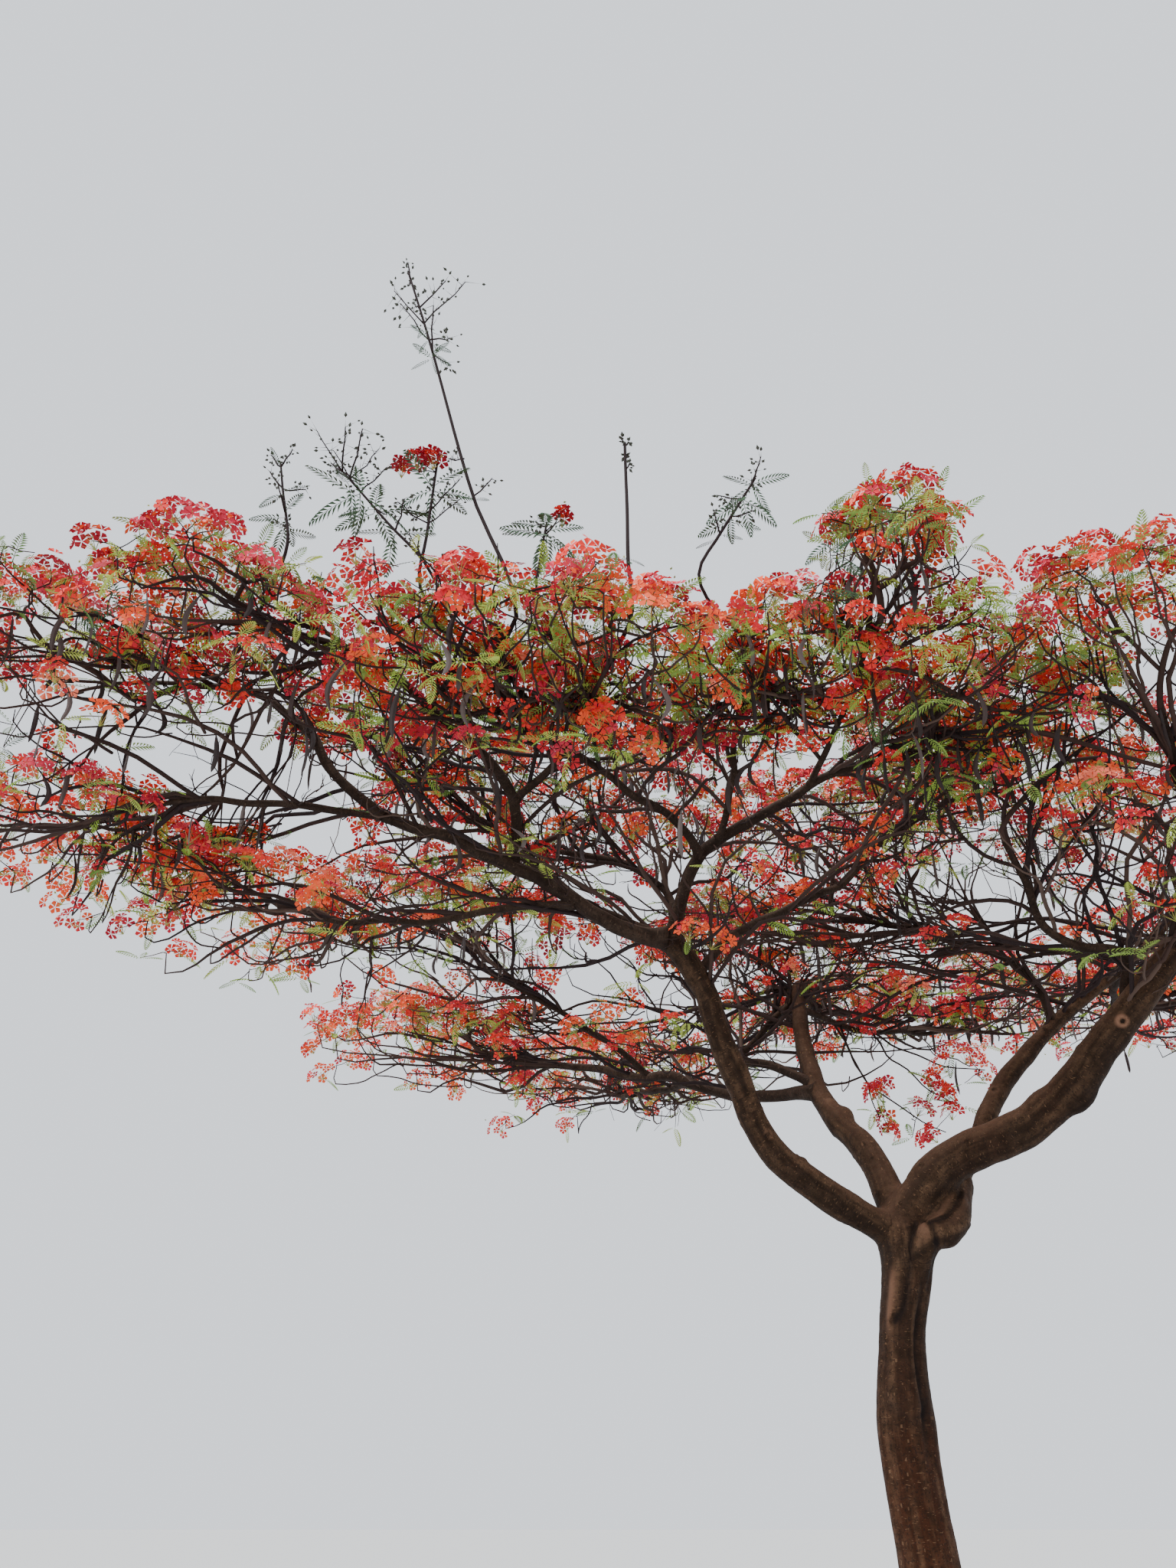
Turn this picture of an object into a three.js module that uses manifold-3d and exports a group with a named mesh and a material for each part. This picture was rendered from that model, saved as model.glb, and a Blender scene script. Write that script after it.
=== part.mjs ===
// A flame tree in blossom: a leaning trunk, crooked boughs and a wide, flat crown of scarlet
// trusses, feathery leaves and long pods, with a few bare shoots that stand above it.
// Millimetres, +Z up. The origin is the middle of the flat cut under the trunk, at ground level.
// Headings are degrees round from +X toward +Y. Rises are degrees up from level.

import * as THREE from "three";
import { mergeVertices } from "three/addons/utils/BufferGeometryUtils.js";
import Module from "manifold-3d";

const wasm = await Module();
wasm.setup();

// Clear space between two pieces that grow into each other, and between two masses of foliage.
const JOINT_GAP = 0.35;
const MASS_GAP = 12;

// The trunk: where its heart stands at each height, and how thick it is there.
const TRUNK_HEART = [
  [0, 0, 0], [-60, 0, 1140], [-100, 5, 2000],
  [-50, 0, 2600], [60, -5, 3160], [50, 10, 3620],
];
const TRUNK_GIRTH = {
  height: [0, 250, 600, 1140, 2100, 2650, 3160, 3420, 3620],
  radius: [262, 238, 222, 212, 211, 181, 205, 196, 90],
};
const TRUNK_RINGS = [0, 90, 220, 420, 800, 1300, 1800, 2150, 2500, 2850, 3160, 3400, 3560, 3620];
const TRUNK_SIDES = 16;
const ROOT_FLARE = { ridges: 5, reach: 0.62, fade: 210, turn: 0.5 };
const TRUNK_GROOVE = { heading: -58, width: 22, depth: 0.16, middle: 2450, length: 600 };

// Limbs. A limb starts on another one, at a share of that one's length, or at a root inside the
// trunk, and its heading and rise turn evenly through the values given. stub is the share of a
// bough that belongs to the fork of the trunk.
const LIMBS = [
  { name: "bough_left_low", root: [30, 0, 3360], stub: 0.2,
    heading: [183, 198, 218], rise: [28, 28, 71], length: 1710, radius: [134, 116] },
  { name: "bough_left_high", on: "bough_left_low", at: 1,
    heading: [217, 216, 209], rise: [60, 71, 31], length: 1450, radius: [116, 98] },
  { name: "limb_left", on: "bough_left_high", at: 1,
    heading: [194, 197, 212, 196], rise: [0, 32, 7, 12], length: 2620, radius: [70, 45] },
  { name: "limb_left_top", on: "limb_left", at: 1,
    heading: [210, 189, 199, 185], rise: [27, 59, 12, -36], length: 2350, radius: [44, 26] },
  { name: "limb_left_rim", on: "limb_left", at: 0.96,
    heading: [190, 188, 181], rise: [8, 1, -12], length: 2030, radius: [34, 22] },
  { name: "limb_left_front", on: "limb_left", at: 0.55,
    heading: [299, 221, 221, 197], rise: [57, 23, 26, 1], length: 2760, radius: [50, 26] },
  { name: "limb_left_inner", on: "limb_left_front", at: 0.2,
    heading: [331, 299, 302], rise: [28, 23, 38], length: 1350, radius: [36, 24] },
  { name: "limb_left_low", on: "limb_left", at: 0.33,
    heading: [169, 163, 188], rise: [2, -3, 16], length: 2540, radius: [36, 22] },
  { name: "limb_left_back", on: "bough_left_high", at: 0.97,
    heading: [168, 163, 182, 179], rise: [27, 38, 48, -11], length: 2660, radius: [50, 28] },
  { name: "limb_middle", on: "bough_left_high", at: 0.96,
    heading: [303, 321, 334, 330, 334, 336], rise: [73, 65, 13, 23, 2, -4], length: 2850, radius: [62, 24] },
  { name: "limb_middle_left", on: "limb_middle", at: 0.28,
    heading: [238, 215, 228, 214], rise: [33, 7, 14, 20], length: 2300, radius: [38, 24] },
  { name: "limb_middle_front", on: "limb_middle", at: 0.36,
    heading: [290, 265, 313], rise: [48, 28, 22], length: 1630, radius: [30, 22] },
  { name: "limb_middle_hump", on: "limb_middle", at: 0.68,
    heading: [280, 278], rise: [22, 2], length: 1720, radius: [28, 20] },
  { name: "limb_middle_back", on: "bough_left_high", at: 0.93,
    heading: [70, 158, 158], rise: [92, 31, 12], length: 2190, radius: [42, 26] },
  { name: "limb_long_right", on: "bough_left_high", at: 0.72,
    heading: [10, -2, 1, 0], rise: [61, 17, 48, 24], length: 2930, radius: [42, 24] },
  { name: "bough_back", root: [50, 60, 3450], stub: 0.07,
    heading: [98, 124, 88, 77, 68, 72], rise: [72, 45, 57, 55, -14, 38], length: 5260, radius: [136, 28] },
  { name: "limb_back_left", on: "bough_back", at: 0.32,
    heading: [130, 147, 155, 157], rise: [5, 21, 12, 18], length: 4050, radius: [66, 30] },
  { name: "limb_back_mid", on: "limb_back_left", at: 0.5,
    heading: [191, 193], rise: [40, 21], length: 1990, radius: [34, 24] },
  { name: "limb_back_low", on: "limb_back_left", at: 0.38,
    heading: [111, 111], rise: [8, 16], length: 2170, radius: [36, 24] },
  { name: "limb_back_rising", on: "bough_back", at: 0.33,
    heading: [156, 140, -30, 100], rise: [40, 18, 43, 54], length: 2390, radius: [46, 28] },
  { name: "limb_back_right", on: "bough_back", at: 0.57,
    heading: [44, 38, 32], rise: [-3, 7, 16], length: 2480, radius: [36, 24] },
  { name: "bough_right_low", root: [80, 0, 3400], stub: 0.2,
    heading: [-8, -16, -27], rise: [71, 17, 35], length: 1780, radius: [167, 162] },
  { name: "bough_right_high", on: "bough_right_low", at: 1,
    heading: [-39, -38, -37], rise: [41, 42, 42], length: 1500, radius: [162, 115] },
  { name: "limb_right_hump", on: "bough_right_high", at: 0.97,
    heading: [-82, -104, -124], rise: [46, 42, 38], length: 2050, radius: [50, 26] },
  { name: "limb_right_front", on: "bough_right_high", at: 1,
    heading: [-34, -52, -73], rise: [23, 31, 29], length: 2480, radius: [85, 30] },
  { name: "limb_right_rim", on: "limb_right_front", at: 0.35,
    heading: [0, 0, 0], rise: [20, 15, 8], length: 2380, radius: [55, 28] },
  { name: "limb_right_inner", on: "bough_right_high", at: 0.6,
    heading: [350, 169, 224, 227], rise: [109, 1, 52, 56], length: 1890, radius: [50, 26] },
  { name: "elbow", root: [130, -120, 3080], stub: 0.25,
    heading: [-112, 19, 53, 55], rise: [81, 32, 27, 32], length: 1290, radius: [108, 120] },
  { name: "bough_rear", on: "elbow", at: 1,
    heading: [59, 11, 4, 11], rise: [61, 46, 34, 46], length: 4100, radius: [106, 40] },
  { name: "limb_rear_rim", on: "bough_rear", at: 0.88,
    heading: [11, -10, -7], rise: [2, 5, -2], length: 2120, radius: [42, 26] },
  { name: "limb_rear_back", on: "bough_rear", at: 0.78,
    heading: [91, 65, 35], rise: [-10, 4, 19], length: 1990, radius: [44, 26] },
  { name: "limb_rear_left", on: "bough_rear", at: 0.5,
    heading: [107, 171, 167], rise: [91, 20, 16], length: 2560, radius: [42, 26] },
];
const PATH_STEPS = 24;
const BOUGH_FACES = { from: 80, sides: 8, every: 4 };
const LIMB_FACES = { sides: 5, every: 5 };

// Masses of foliage. Each hangs on the tip of one limb and fills a flattened dome round its
// middle: wide is the dome's half width, high its height, and tips the number of its sprays
// where that isn't the usual one.
const USUAL_TIPS = 9;
const MASSES = [
  { name: "mass_far_left_top", on: "limb_left_top", middle: [-6450, -2900, 6880], wide: 1000, high: 520 },
  { name: "mass_far_left_low", on: "limb_left_rim", middle: [-6950, -1400, 6200], wide: 1100, high: 500 },
  { name: "mass_left_hump", on: "limb_left_front",
    middle: [-5200, -3300, 7000], wide: 850, high: 580, tips: 10 },
  { name: "mass_left_low", on: "limb_left_low", middle: [-5600, -300, 6000], wide: 1150, high: 500, tips: 8 },
  { name: "mass_left_back", on: "limb_left_back",
    middle: [-4100, -800, 7200], wide: 1150, high: 600, tips: 8 },
  { name: "mass_left_inner", on: "limb_left_inner", middle: [-2400, -3250, 6600], wide: 850, high: 470 },
  { name: "mass_middle_left", on: "limb_middle_left", middle: [-3450, -3250, 6750], wide: 900, high: 520 },
  { name: "mass_middle_front", on: "limb_middle_front",
    middle: [-1150, -2800, 6780], wide: 850, high: 400, tips: 8 },
  { name: "mass_middle_hump", on: "limb_middle_hump", middle: [-330, -3600, 7250], wide: 520, high: 640 },
  { name: "mass_middle_right", on: "limb_middle", middle: [500, -2600, 6800], wide: 950, high: 540 },
  { name: "mass_middle_top", on: "limb_middle_back",
    middle: [-2300, 100, 7400], wide: 1250, high: 650, tips: 10 },
  { name: "mass_long_right", on: "limb_long_right", middle: [1000, -500, 7350], wide: 1150, high: 600 },
  { name: "mass_right_inner", on: "limb_right_inner",
    middle: [1500, -1700, 6900], wide: 850, high: 550, tips: 8 },
  { name: "mass_right_hump", on: "limb_right_hump", middle: [1550, -3300, 6950], wide: 900, high: 620 },
  { name: "mass_right_front", on: "limb_right_front", middle: [3700, -3050, 6850], wide: 1250, high: 600 },
  { name: "mass_right_rim", on: "limb_right_rim",
    middle: [5900, -1800, 6500], wide: 1250, high: 600, tips: 8 },
  { name: "mass_rear_top", on: "bough_rear", middle: [3200, 450, 7350], wide: 1450, high: 650, tips: 10 },
  { name: "mass_rear_rim", on: "limb_rear_rim", middle: [6000, 1000, 6700], wide: 1300, high: 600, tips: 8 },
  { name: "mass_rear_back", on: "limb_rear_back",
    middle: [4200, 3300, 6500], wide: 1300, high: 600, tips: 8 },
  { name: "mass_rear_left", on: "limb_rear_left",
    middle: [100, 1000, 7500], wide: 1300, high: 650, tips: 10 },
  { name: "mass_left_rear", on: "limb_back_mid",
    middle: [-4300, 1500, 6700], wide: 1250, high: 600, tips: 8 },
  { name: "mass_back_left", on: "limb_back_left",
    middle: [-4400, 3300, 6050], wide: 1200, high: 500, tips: 8 },
  { name: "mass_back_low", on: "limb_back_low", middle: [-2200, 4500, 6000], wide: 1250, high: 500, tips: 8 },
  { name: "mass_back_rising", on: "limb_back_rising",
    middle: [-700, 2650, 7000], wide: 1150, high: 600, tips: 8 },
  { name: "mass_back", on: "bough_back", middle: [300, 4500, 6700], wide: 1200, high: 550, tips: 8 },
  { name: "mass_back_right", on: "limb_back_right",
    middle: [2300, 3800, 6700], wide: 1250, high: 550, tips: 8 },
];

// The growth rule of a mass.
const TIP_SPREAD = 98;
const TIP_SCATTER = 0.14;
const SUNFLOWER_TURN = Math.PI * (3 - Math.sqrt(5));
const STEM_SIDES = 4;
const STEM_STRAIGHT = 60;
const FORK_SHARE = 0.44;
const FORK_CROOK = 0.1;
const SIDE_BACK = 0.12;
const TWIG_SIDES = 3;
const TWIG = { tip: 10, power: 0.42 };
const TRUSS = { wide: 265, high: 110 };
const LEAF = { length: 600, half: 105, thick: 9, droop: -12, fan: 55, widest: 0.45 };
const POD = { length: 540, half: 24, thick: 8, bow: 70 };

// Shoots that stand above the crown: the mass they rise from, the point near its top that they
// pass through, and where they end.
const SHOOTS = [
  { on: "mass_middle_left", to: [-3990, -3700, 10420],
    radius: [18, 7], through: [-3010, -3300, 6960], sprigs: 7 },
  { on: "mass_middle_left", to: [-3655, -3350, 8650],
    radius: [13, 7], through: [-3725, -3300, 7380], sprigs: 4 },
  { on: "mass_left_hump", to: [-4900, -3330, 8560],
    radius: [13, 7], through: [-4745, -3300, 7760], sprigs: 4 },
  { on: "mass_left_inner", to: [-2180, -3300, 8820],
    radius: [13, 7], through: [-2170, -3300, 7000], sprigs: 2 },
  { on: "mass_middle_front", to: [-1170, -3350, 8380],
    radius: [13, 7], through: [-1640, -3250, 7540], sprigs: 3 },
];
const SHOOT_STEPS = 4;
const SPRIG = { length: 360, half: 60, thick: 8, widest: 0.55, from: 0.55, rise: 35, turn: 137.5 };

// Finishes.
const TRUNK_COLOUR = 0x5a4238;
const LIMB_COLOUR = 0x4d3a33;
const BLOSSOM_COLOUR = 0xd9402b;

// Small helpers for points and directions.
const vec = ([x, y, z]) => new THREE.Vector3(x, y, z);
const radians = (degrees) => (degrees * Math.PI) / 180;
const between = (a, b, share) => a + (b - a) * share;

// Value of a list of evenly spaced values at a share of the way along it.
function along(values, share) {
  const place = Math.min(Math.max(share, 0), 1) * (values.length - 1);
  const index = Math.min(Math.floor(place), values.length - 2);
  return between(values[index], values[index + 1], place - index);
}

// Value of a curve given by its stations and the values there, straight between them.
function atStation(stations, values, place) {
  let index = 0;
  while (index < stations.length - 2 && place > stations[index + 1]) {
    index += 1;
  }
  const share = (place - stations[index]) / (stations[index + 1] - stations[index]);
  return between(values[index], values[index + 1], Math.min(Math.max(share, 0), 1));
}

// Unit direction of a heading and a rise.
function toward(heading, rise) {
  const [turn, lift] = [radians(heading), radians(rise)];
  const level = Math.cos(lift);
  return new THREE.Vector3(level * Math.cos(turn), level * Math.sin(turn), Math.sin(lift));
}

// Even random numbers from 0 to 1 that are the same each time for one seed.
function seeded(seed) {
  let state = seed >>> 0;
  return () => {
    state = (state + 0x6d2b79f5) >>> 0;
    let mixed = Math.imul(state ^ (state >>> 15), state | 1);
    mixed ^= mixed + Math.imul(mixed ^ (mixed >>> 7), mixed | 61);
    return ((mixed ^ (mixed >>> 14)) >>> 0) / 4294967296;
  };
}

// A solid from the corners and faces of a closed mesh.
function solidOf(geometry) {
  geometry.deleteAttribute("normal");
  geometry.deleteAttribute("uv");
  const merged = mergeVertices(geometry, 1e-3);
  const vertProperties = new Float32Array(merged.attributes.position.array);
  const triVerts = new Uint32Array(merged.index.array);
  return new wasm.Manifold(new wasm.Mesh({ numProp: 3, vertProperties, triVerts }));
}

// A closed skin over rings that have the same number of corners, with a flat face at each end.
function skin(rings) {
  const corners = rings.flat().flatMap((point) => [point.x, point.y, point.z]);
  const sides = rings[0].length;
  const faces = [];
  for (let ring = 0; ring < rings.length - 1; ring += 1) {
    for (let side = 0; side < sides; side += 1) {
      const next = (side + 1) % sides;
      const [a, b] = [ring * sides + side, ring * sides + next];
      faces.push(a, b, b + sides, a, b + sides, a + sides);
    }
  }
  const last = (rings.length - 1) * sides;
  for (let side = 1; side < sides - 1; side += 1) {
    faces.push(0, side + 1, side, last, last + side, last + side + 1);
  }
  const geometry = new THREE.BufferGeometry();
  geometry.setAttribute("position", new THREE.Float32BufferAttribute(corners, 3));
  geometry.setIndex(faces);
  return geometry;
}

// A round section carried along a path without twisting.
function sweep(path, radii, sides) {
  const rings = [];
  let side = new THREE.Vector3();
  path.forEach((point, index) => {
    const before = path[Math.max(index - 1, 0)];
    const after = path[Math.min(index + 1, path.length - 1)];
    const forward = after.clone().sub(before).normalize();
    if (index === 0) {
      const helper = Math.abs(forward.z) < 0.9 ? vec([0, 0, 1]) : vec([1, 0, 0]);
      side.crossVectors(helper, forward).normalize();
    } else {
      side = side.clone().addScaledVector(forward, -side.dot(forward)).normalize();
    }
    const up = new THREE.Vector3().crossVectors(forward, side);
    const ring = [];
    for (let corner = 0; corner < sides; corner += 1) {
      const turn = (corner / sides) * Math.PI * 2;
      ring.push(point.clone()
        .addScaledVector(side, Math.cos(turn) * radii[index])
        .addScaledVector(up, Math.sin(turn) * radii[index]));
    }
    rings.push(ring);
  });
  return skin(rings);
}

// A closed form of flat faces from two ends and a ring of corners in order round their axis.
function spindle(first, last, ring) {
  const corners = [first, last, ...ring].flatMap((corner) => [corner.x, corner.y, corner.z]);
  const faces = [];
  ring.forEach((corner, index) => {
    const [a, b] = [2 + index, 2 + ((index + 1) % ring.length)];
    faces.push(0, b, a, 1, a, b);
  });
  const geometry = new THREE.BufferGeometry();
  geometry.setAttribute("position", new THREE.Float32BufferAttribute(corners, 3));
  geometry.setIndex(faces);
  return geometry;
}

// A feathery leaf or a sprig: flat below, with a low ridge above, widest part way along.
function leafGeometry(root, forward, length, half, thick, widestAt) {
  const side = new THREE.Vector3(-forward.y, forward.x, 0).normalize();
  const up = new THREE.Vector3().crossVectors(forward, side);
  const widest = root.clone().addScaledVector(forward, length * widestAt);
  return spindle(root, root.clone().addScaledVector(forward, length), [
    widest.clone().addScaledVector(side, half),
    widest.clone().addScaledVector(up, thick),
    widest.clone().addScaledVector(side, -half),
  ]);
}

// A truss of blossom: a low cushion of eight faces with its middle on the twig's end.
function trussGeometry(middle, wide, high, turn) {
  const ring = [0, 1, 2, 3].map((side) => {
    const angle = turn + (side * Math.PI) / 2;
    const reach = side % 2 === 0 ? wide : wide * 0.82;
    return middle.clone().add(vec([Math.cos(angle) * reach, Math.sin(angle) * reach, 0]));
  });
  return spindle(middle.clone().add(vec([0, 0, -high * 0.8])), middle.clone().add(vec([0, 0, high])), ring);
}

// A pod hanging from a fork: flat, with its lower end out to one side.
function podGeometry(fork, heading) {
  const [out, flat] = [toward(heading, 0), toward(heading + 90, 0)];
  const belly = fork.clone().addScaledVector(out, POD.bow).add(vec([0, 0, -POD.length / 2]));
  return spindle(fork.clone(), fork.clone().add(vec([0, 0, -POD.length])), [
    belly.clone().addScaledVector(out, POD.half),
    belly.clone().addScaledVector(flat, -POD.thick),
    belly.clone().addScaledVector(out, -POD.half),
    belly.clone().addScaledVector(flat, POD.thick),
  ]);
}

// The limb's path: steps of equal length whose heading and rise turn evenly.
function limbPath(limb, start) {
  const path = [start.clone()];
  for (let step = 0; step < PATH_STEPS; step += 1) {
    const share = (step + 0.5) / PATH_STEPS;
    const direction = toward(along(limb.heading, share), along(limb.rise, share));
    path.push(path[step].clone().addScaledVector(direction, limb.length / PATH_STEPS));
  }
  return path;
}

// Point at a share of a path.
function pointOn(path, share) {
  const place = Math.min(Math.max(share, 0), 1) * (path.length - 1);
  const index = Math.min(Math.floor(place), path.length - 2);
  return path[index].clone().lerp(path[index + 1], place - index);
}

// Points of a limb's path where its rings stand, from one share of its length to another.
function ringPoints(limb, from, to) {
  const { every } = limb.radius[0] >= BOUGH_FACES.from ? BOUGH_FACES : LIMB_FACES;
  const count = Math.max(Math.round(((to - from) * PATH_STEPS) / every), 1);
  return [...Array(count + 1).keys()].map((ring) => pointOn(limb.path, between(from, to, ring / count)));
}

// A limb's solid from one share of its length to another, grown by a little where asked.
function limbSolid(limb, from, to, grow = 0) {
  const { sides } = limb.radius[0] >= BOUGH_FACES.from ? BOUGH_FACES : LIMB_FACES;
  const path = ringPoints(limb, from, to);
  const last = path.length - 1;
  const [thick, thin] = limb.radius;
  const radii = path.map((point, ring) => between(thick, thin, between(from, to, ring / last)) + grow);
  if (grow > 0) {
    const lengthen = (end, inner) => end.addScaledVector(end.clone().sub(inner).normalize(), grow);
    lengthen(path[0], path[1]);
    lengthen(path[last], path[last - 1]);
  }
  return solidOf(sweep(path, radii, sides));
}

// The largest body of a solid: loose scraps of a cut are dropped.
function largest(solid) {
  return solid.decompose().reduce((best, body) => (body.volume() > best.volume() ? body : best));
}

function geometryOf(solid) {
  const { vertProperties, triVerts } = solid.getMesh();
  const geometry = new THREE.BufferGeometry();
  geometry.setAttribute("position", new THREE.Float32BufferAttribute(vertProperties, 3));
  geometry.setIndex(Array.from(triVerts));
  return geometry;
}

// A named mesh of one body. Corners that lie together are merged first, which may part a scrap.
function meshOf(name, solid, colour, roughness) {
  const geometry = geometryOf(largest(solidOf(geometryOf(largest(solid)))));
  geometry.computeVertexNormals();
  const finish = new THREE.MeshStandardMaterial({ color: colour, roughness, metalness: 0 });
  const mesh = new THREE.Mesh(geometry, finish);
  mesh.name = name;
  return mesh;
}

// The trunk: level sections round its leaning heart, with root ridges that fade upward and a
// groove down one side, where two stems have grown into one.
function trunkSolid(grow = 0) {
  const heart = new THREE.CatmullRomCurve3(TRUNK_HEART.map(vec), false, "centripetal");
  const samples = heart.getPoints(200);
  const rings = TRUNK_RINGS.map((height) => {
    const middle = samples.reduce((a, b) => (Math.abs(b.z - height) < Math.abs(a.z - height) ? b : a));
    const radius = atStation(TRUNK_GIRTH.height, TRUNK_GIRTH.radius, height) + grow;
    const ring = [];
    for (let side = 0; side < TRUNK_SIDES; side += 1) {
      const turn = (side / TRUNK_SIDES) * Math.PI * 2;
      const ridge = Math.max(Math.cos(ROOT_FLARE.ridges * turn + ROOT_FLARE.turn), -0.35);
      const flare = 1 + ROOT_FLARE.reach * (0.45 + 0.55 * ridge) * Math.exp(-height / ROOT_FLARE.fade);
      const past = turn - radians(TRUNK_GROOVE.heading);
      const off = Math.atan2(Math.sin(past), Math.cos(past));
      const across = Math.exp(-((off / radians(TRUNK_GROOVE.width)) ** 2));
      const up = Math.exp(-(((height - TRUNK_GROOVE.middle) / TRUNK_GROOVE.length) ** 2));
      const reach = radius * flare * (1 - TRUNK_GROOVE.depth * across * up);
      ring.push(vec([middle.x + Math.cos(turn) * reach, middle.y + Math.sin(turn) * reach, height]));
    }
    return ring;
  });
  return solidOf(skin(rings));
}

const tree = new THREE.Group();
tree.name = "flame_tree";

// Every limb's path, from its root or from its place on the limb that bears it.
const limbNamed = new Map();
for (const limb of LIMBS) {
  const start = limb.root ? vec(limb.root) : pointOn(limbNamed.get(limb.on).path, limb.at);
  limb.path = limbPath(limb, start);
  limb.from = limb.root ? limb.stub * 0.7 : 0;
  limbNamed.set(limb.name, limb);
}

// The trunk and the stubs of its boughs are one solid, which ends at the fork.
let trunk = trunkSolid();
let taken = trunkSolid(JOINT_GAP);
for (const limb of LIMBS.filter((one) => one.root)) {
  trunk = trunk.add(limbSolid(limb, 0, limb.stub));
  taken = taken.add(limbSolid(limb, 0, limb.stub, JOINT_GAP));
}
tree.add(meshOf("trunk", trunk, TRUNK_COLOUR, 0.85));

// Each limb is cut back from what grew before it, with the joint's gap.
for (const limb of LIMBS) {
  tree.add(meshOf(limb.name, limbSolid(limb, limb.from, 1).subtract(taken), LIMB_COLOUR, 0.85));
  taken = taken.add(limbSolid(limb, limb.from, 1, JOINT_GAP));
}

// A mass keeps to the upright cell of points that are nearer to its middle than to another's.
function inCell(mass, point) {
  return MASSES.every((other) => {
    if (other === mass) {
      return true;
    }
    const [across, away] = [other.middle[0] - mass.middle[0], other.middle[1] - mass.middle[1]];
    const apart = Math.hypot(across, away);
    const offset = (point.x - mass.middle[0]) * across + (point.y - mass.middle[1]) * away;
    return offset / apart < (apart - MASS_GAP) / 2;
  });
}

// Where the twigs of a mass end: a sunflower pattern over its dome, a little scattered, each
// drawn back toward the stem until its truss has room in the mass's cell.
function tipsOf(mass, root, random) {
  const tips = [];
  for (let index = 0; index < mass.tips; index += 1) {
    const polar = Math.acos(1 - ((index + 0.5) / mass.tips) * (1 - Math.cos(radians(TIP_SPREAD))));
    const turn = index * SUNFLOWER_TURN + mass.turn;
    const reach = 1 - TIP_SCATTER * random();
    const tip = vec(mass.middle).add(vec([
      Math.sin(polar) * Math.cos(turn) * mass.wide * reach,
      Math.sin(polar) * Math.sin(turn) * mass.wide * reach,
      Math.cos(polar) * mass.high * reach,
    ]));
    const roomy = () => [0, 90, 180, 270].every((around) =>
      inCell(mass, tip.clone().addScaledVector(toward(around, 0), TRUSS.wide)));
    for (let pull = 0; pull < 8 && !roomy(); pull += 1) {
      tip.x = between(tip.x, root.x, 0.12);
      tip.y = between(tip.y, root.y, 0.12);
    }
    if (roomy()) {
      tips.push(tip);
    }
  }
  return tips;
}

// Radius of a twig that bears a number of tips.
const twigRadius = (count) => TWIG.tip * count ** TWIG.power;

const centroid = (tips) =>
  tips.reduce((sum, tip) => sum.add(tip), new THREE.Vector3()).divideScalar(tips.length);

// Parts tips in two equal halves across their greatest level extent.
function halves(tips) {
  const extent = (axis) => {
    const values = tips.map((tip) => tip[axis]);
    return Math.max(...values) - Math.min(...values);
  };
  const axis = extent("x") >= extent("y") ? "x" : "y";
  const sorted = [...tips].sort((a, b) => a[axis] - b[axis]);
  const cut = Math.floor(sorted.length / 2);
  return [sorted.slice(0, cut), sorted.slice(cut)];
}

// The twigs of a mass, worked out before any of them is built. Each twig runs from fork to fork
// to its own tip. At a fork it goes on toward the half of its tips that turns it least, and a
// side twig starts for the other half. bears is the number of tips beyond each of its points.
function growTwigs(mass, root, onward, tips, random) {
  const twigs = [];
  const grow = (parent, place, points, bears, group) => {
    const twig = { parent, place, points, bears };
    const number = twigs.push(twig) - 1;
    const side = [];
    while (group.length > 1) {
      const at = points[points.length - 1];
      const middle = centroid(group);
      const bow = FORK_CROOK * at.distanceTo(middle);
      const crook = vec([random() - 0.5, random() - 0.5, random() - 0.5]).multiplyScalar(2 * bow);
      const fork = at.clone().lerp(middle, FORK_SHARE).add(crook);
      const heading = fork.clone().sub(at).normalize();
      points.push(fork);
      bears.push(group.length);
      const turnOf = (half) => centroid(half).sub(fork).normalize().dot(heading);
      const [first, second] = halves(group);
      const [main, other] = turnOf(first) >= turnOf(second) ? [first, second] : [second, first];
      side.push([points.length - 1, other]);
      group = main;
    }
    points.push(group[0].clone());
    bears.push(1);
    side.forEach(([index, half]) => {
      const start = points[index].clone().lerp(points[index - 1], SIDE_BACK);
      grow(number, index, [start], [half.length], half);
    });
  };
  const straight = root.clone().addScaledVector(onward, STEM_STRAIGHT);
  grow(-1, 0, [root.clone(), straight], [tips.length, tips.length], tips);
  return twigs;
}

// A shoot's path: from its fork to the point it passes through, and on in a straight line.
function shootPath(shoot, from) {
  const through = vec(shoot.through);
  const path = [from.clone()];
  for (let step = 0; step < SHOOT_STEPS; step += 1) {
    path.push(through.clone().lerp(vec(shoot.to), step / (SHOOT_STEPS - 1)));
  }
  return path;
}

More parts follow.
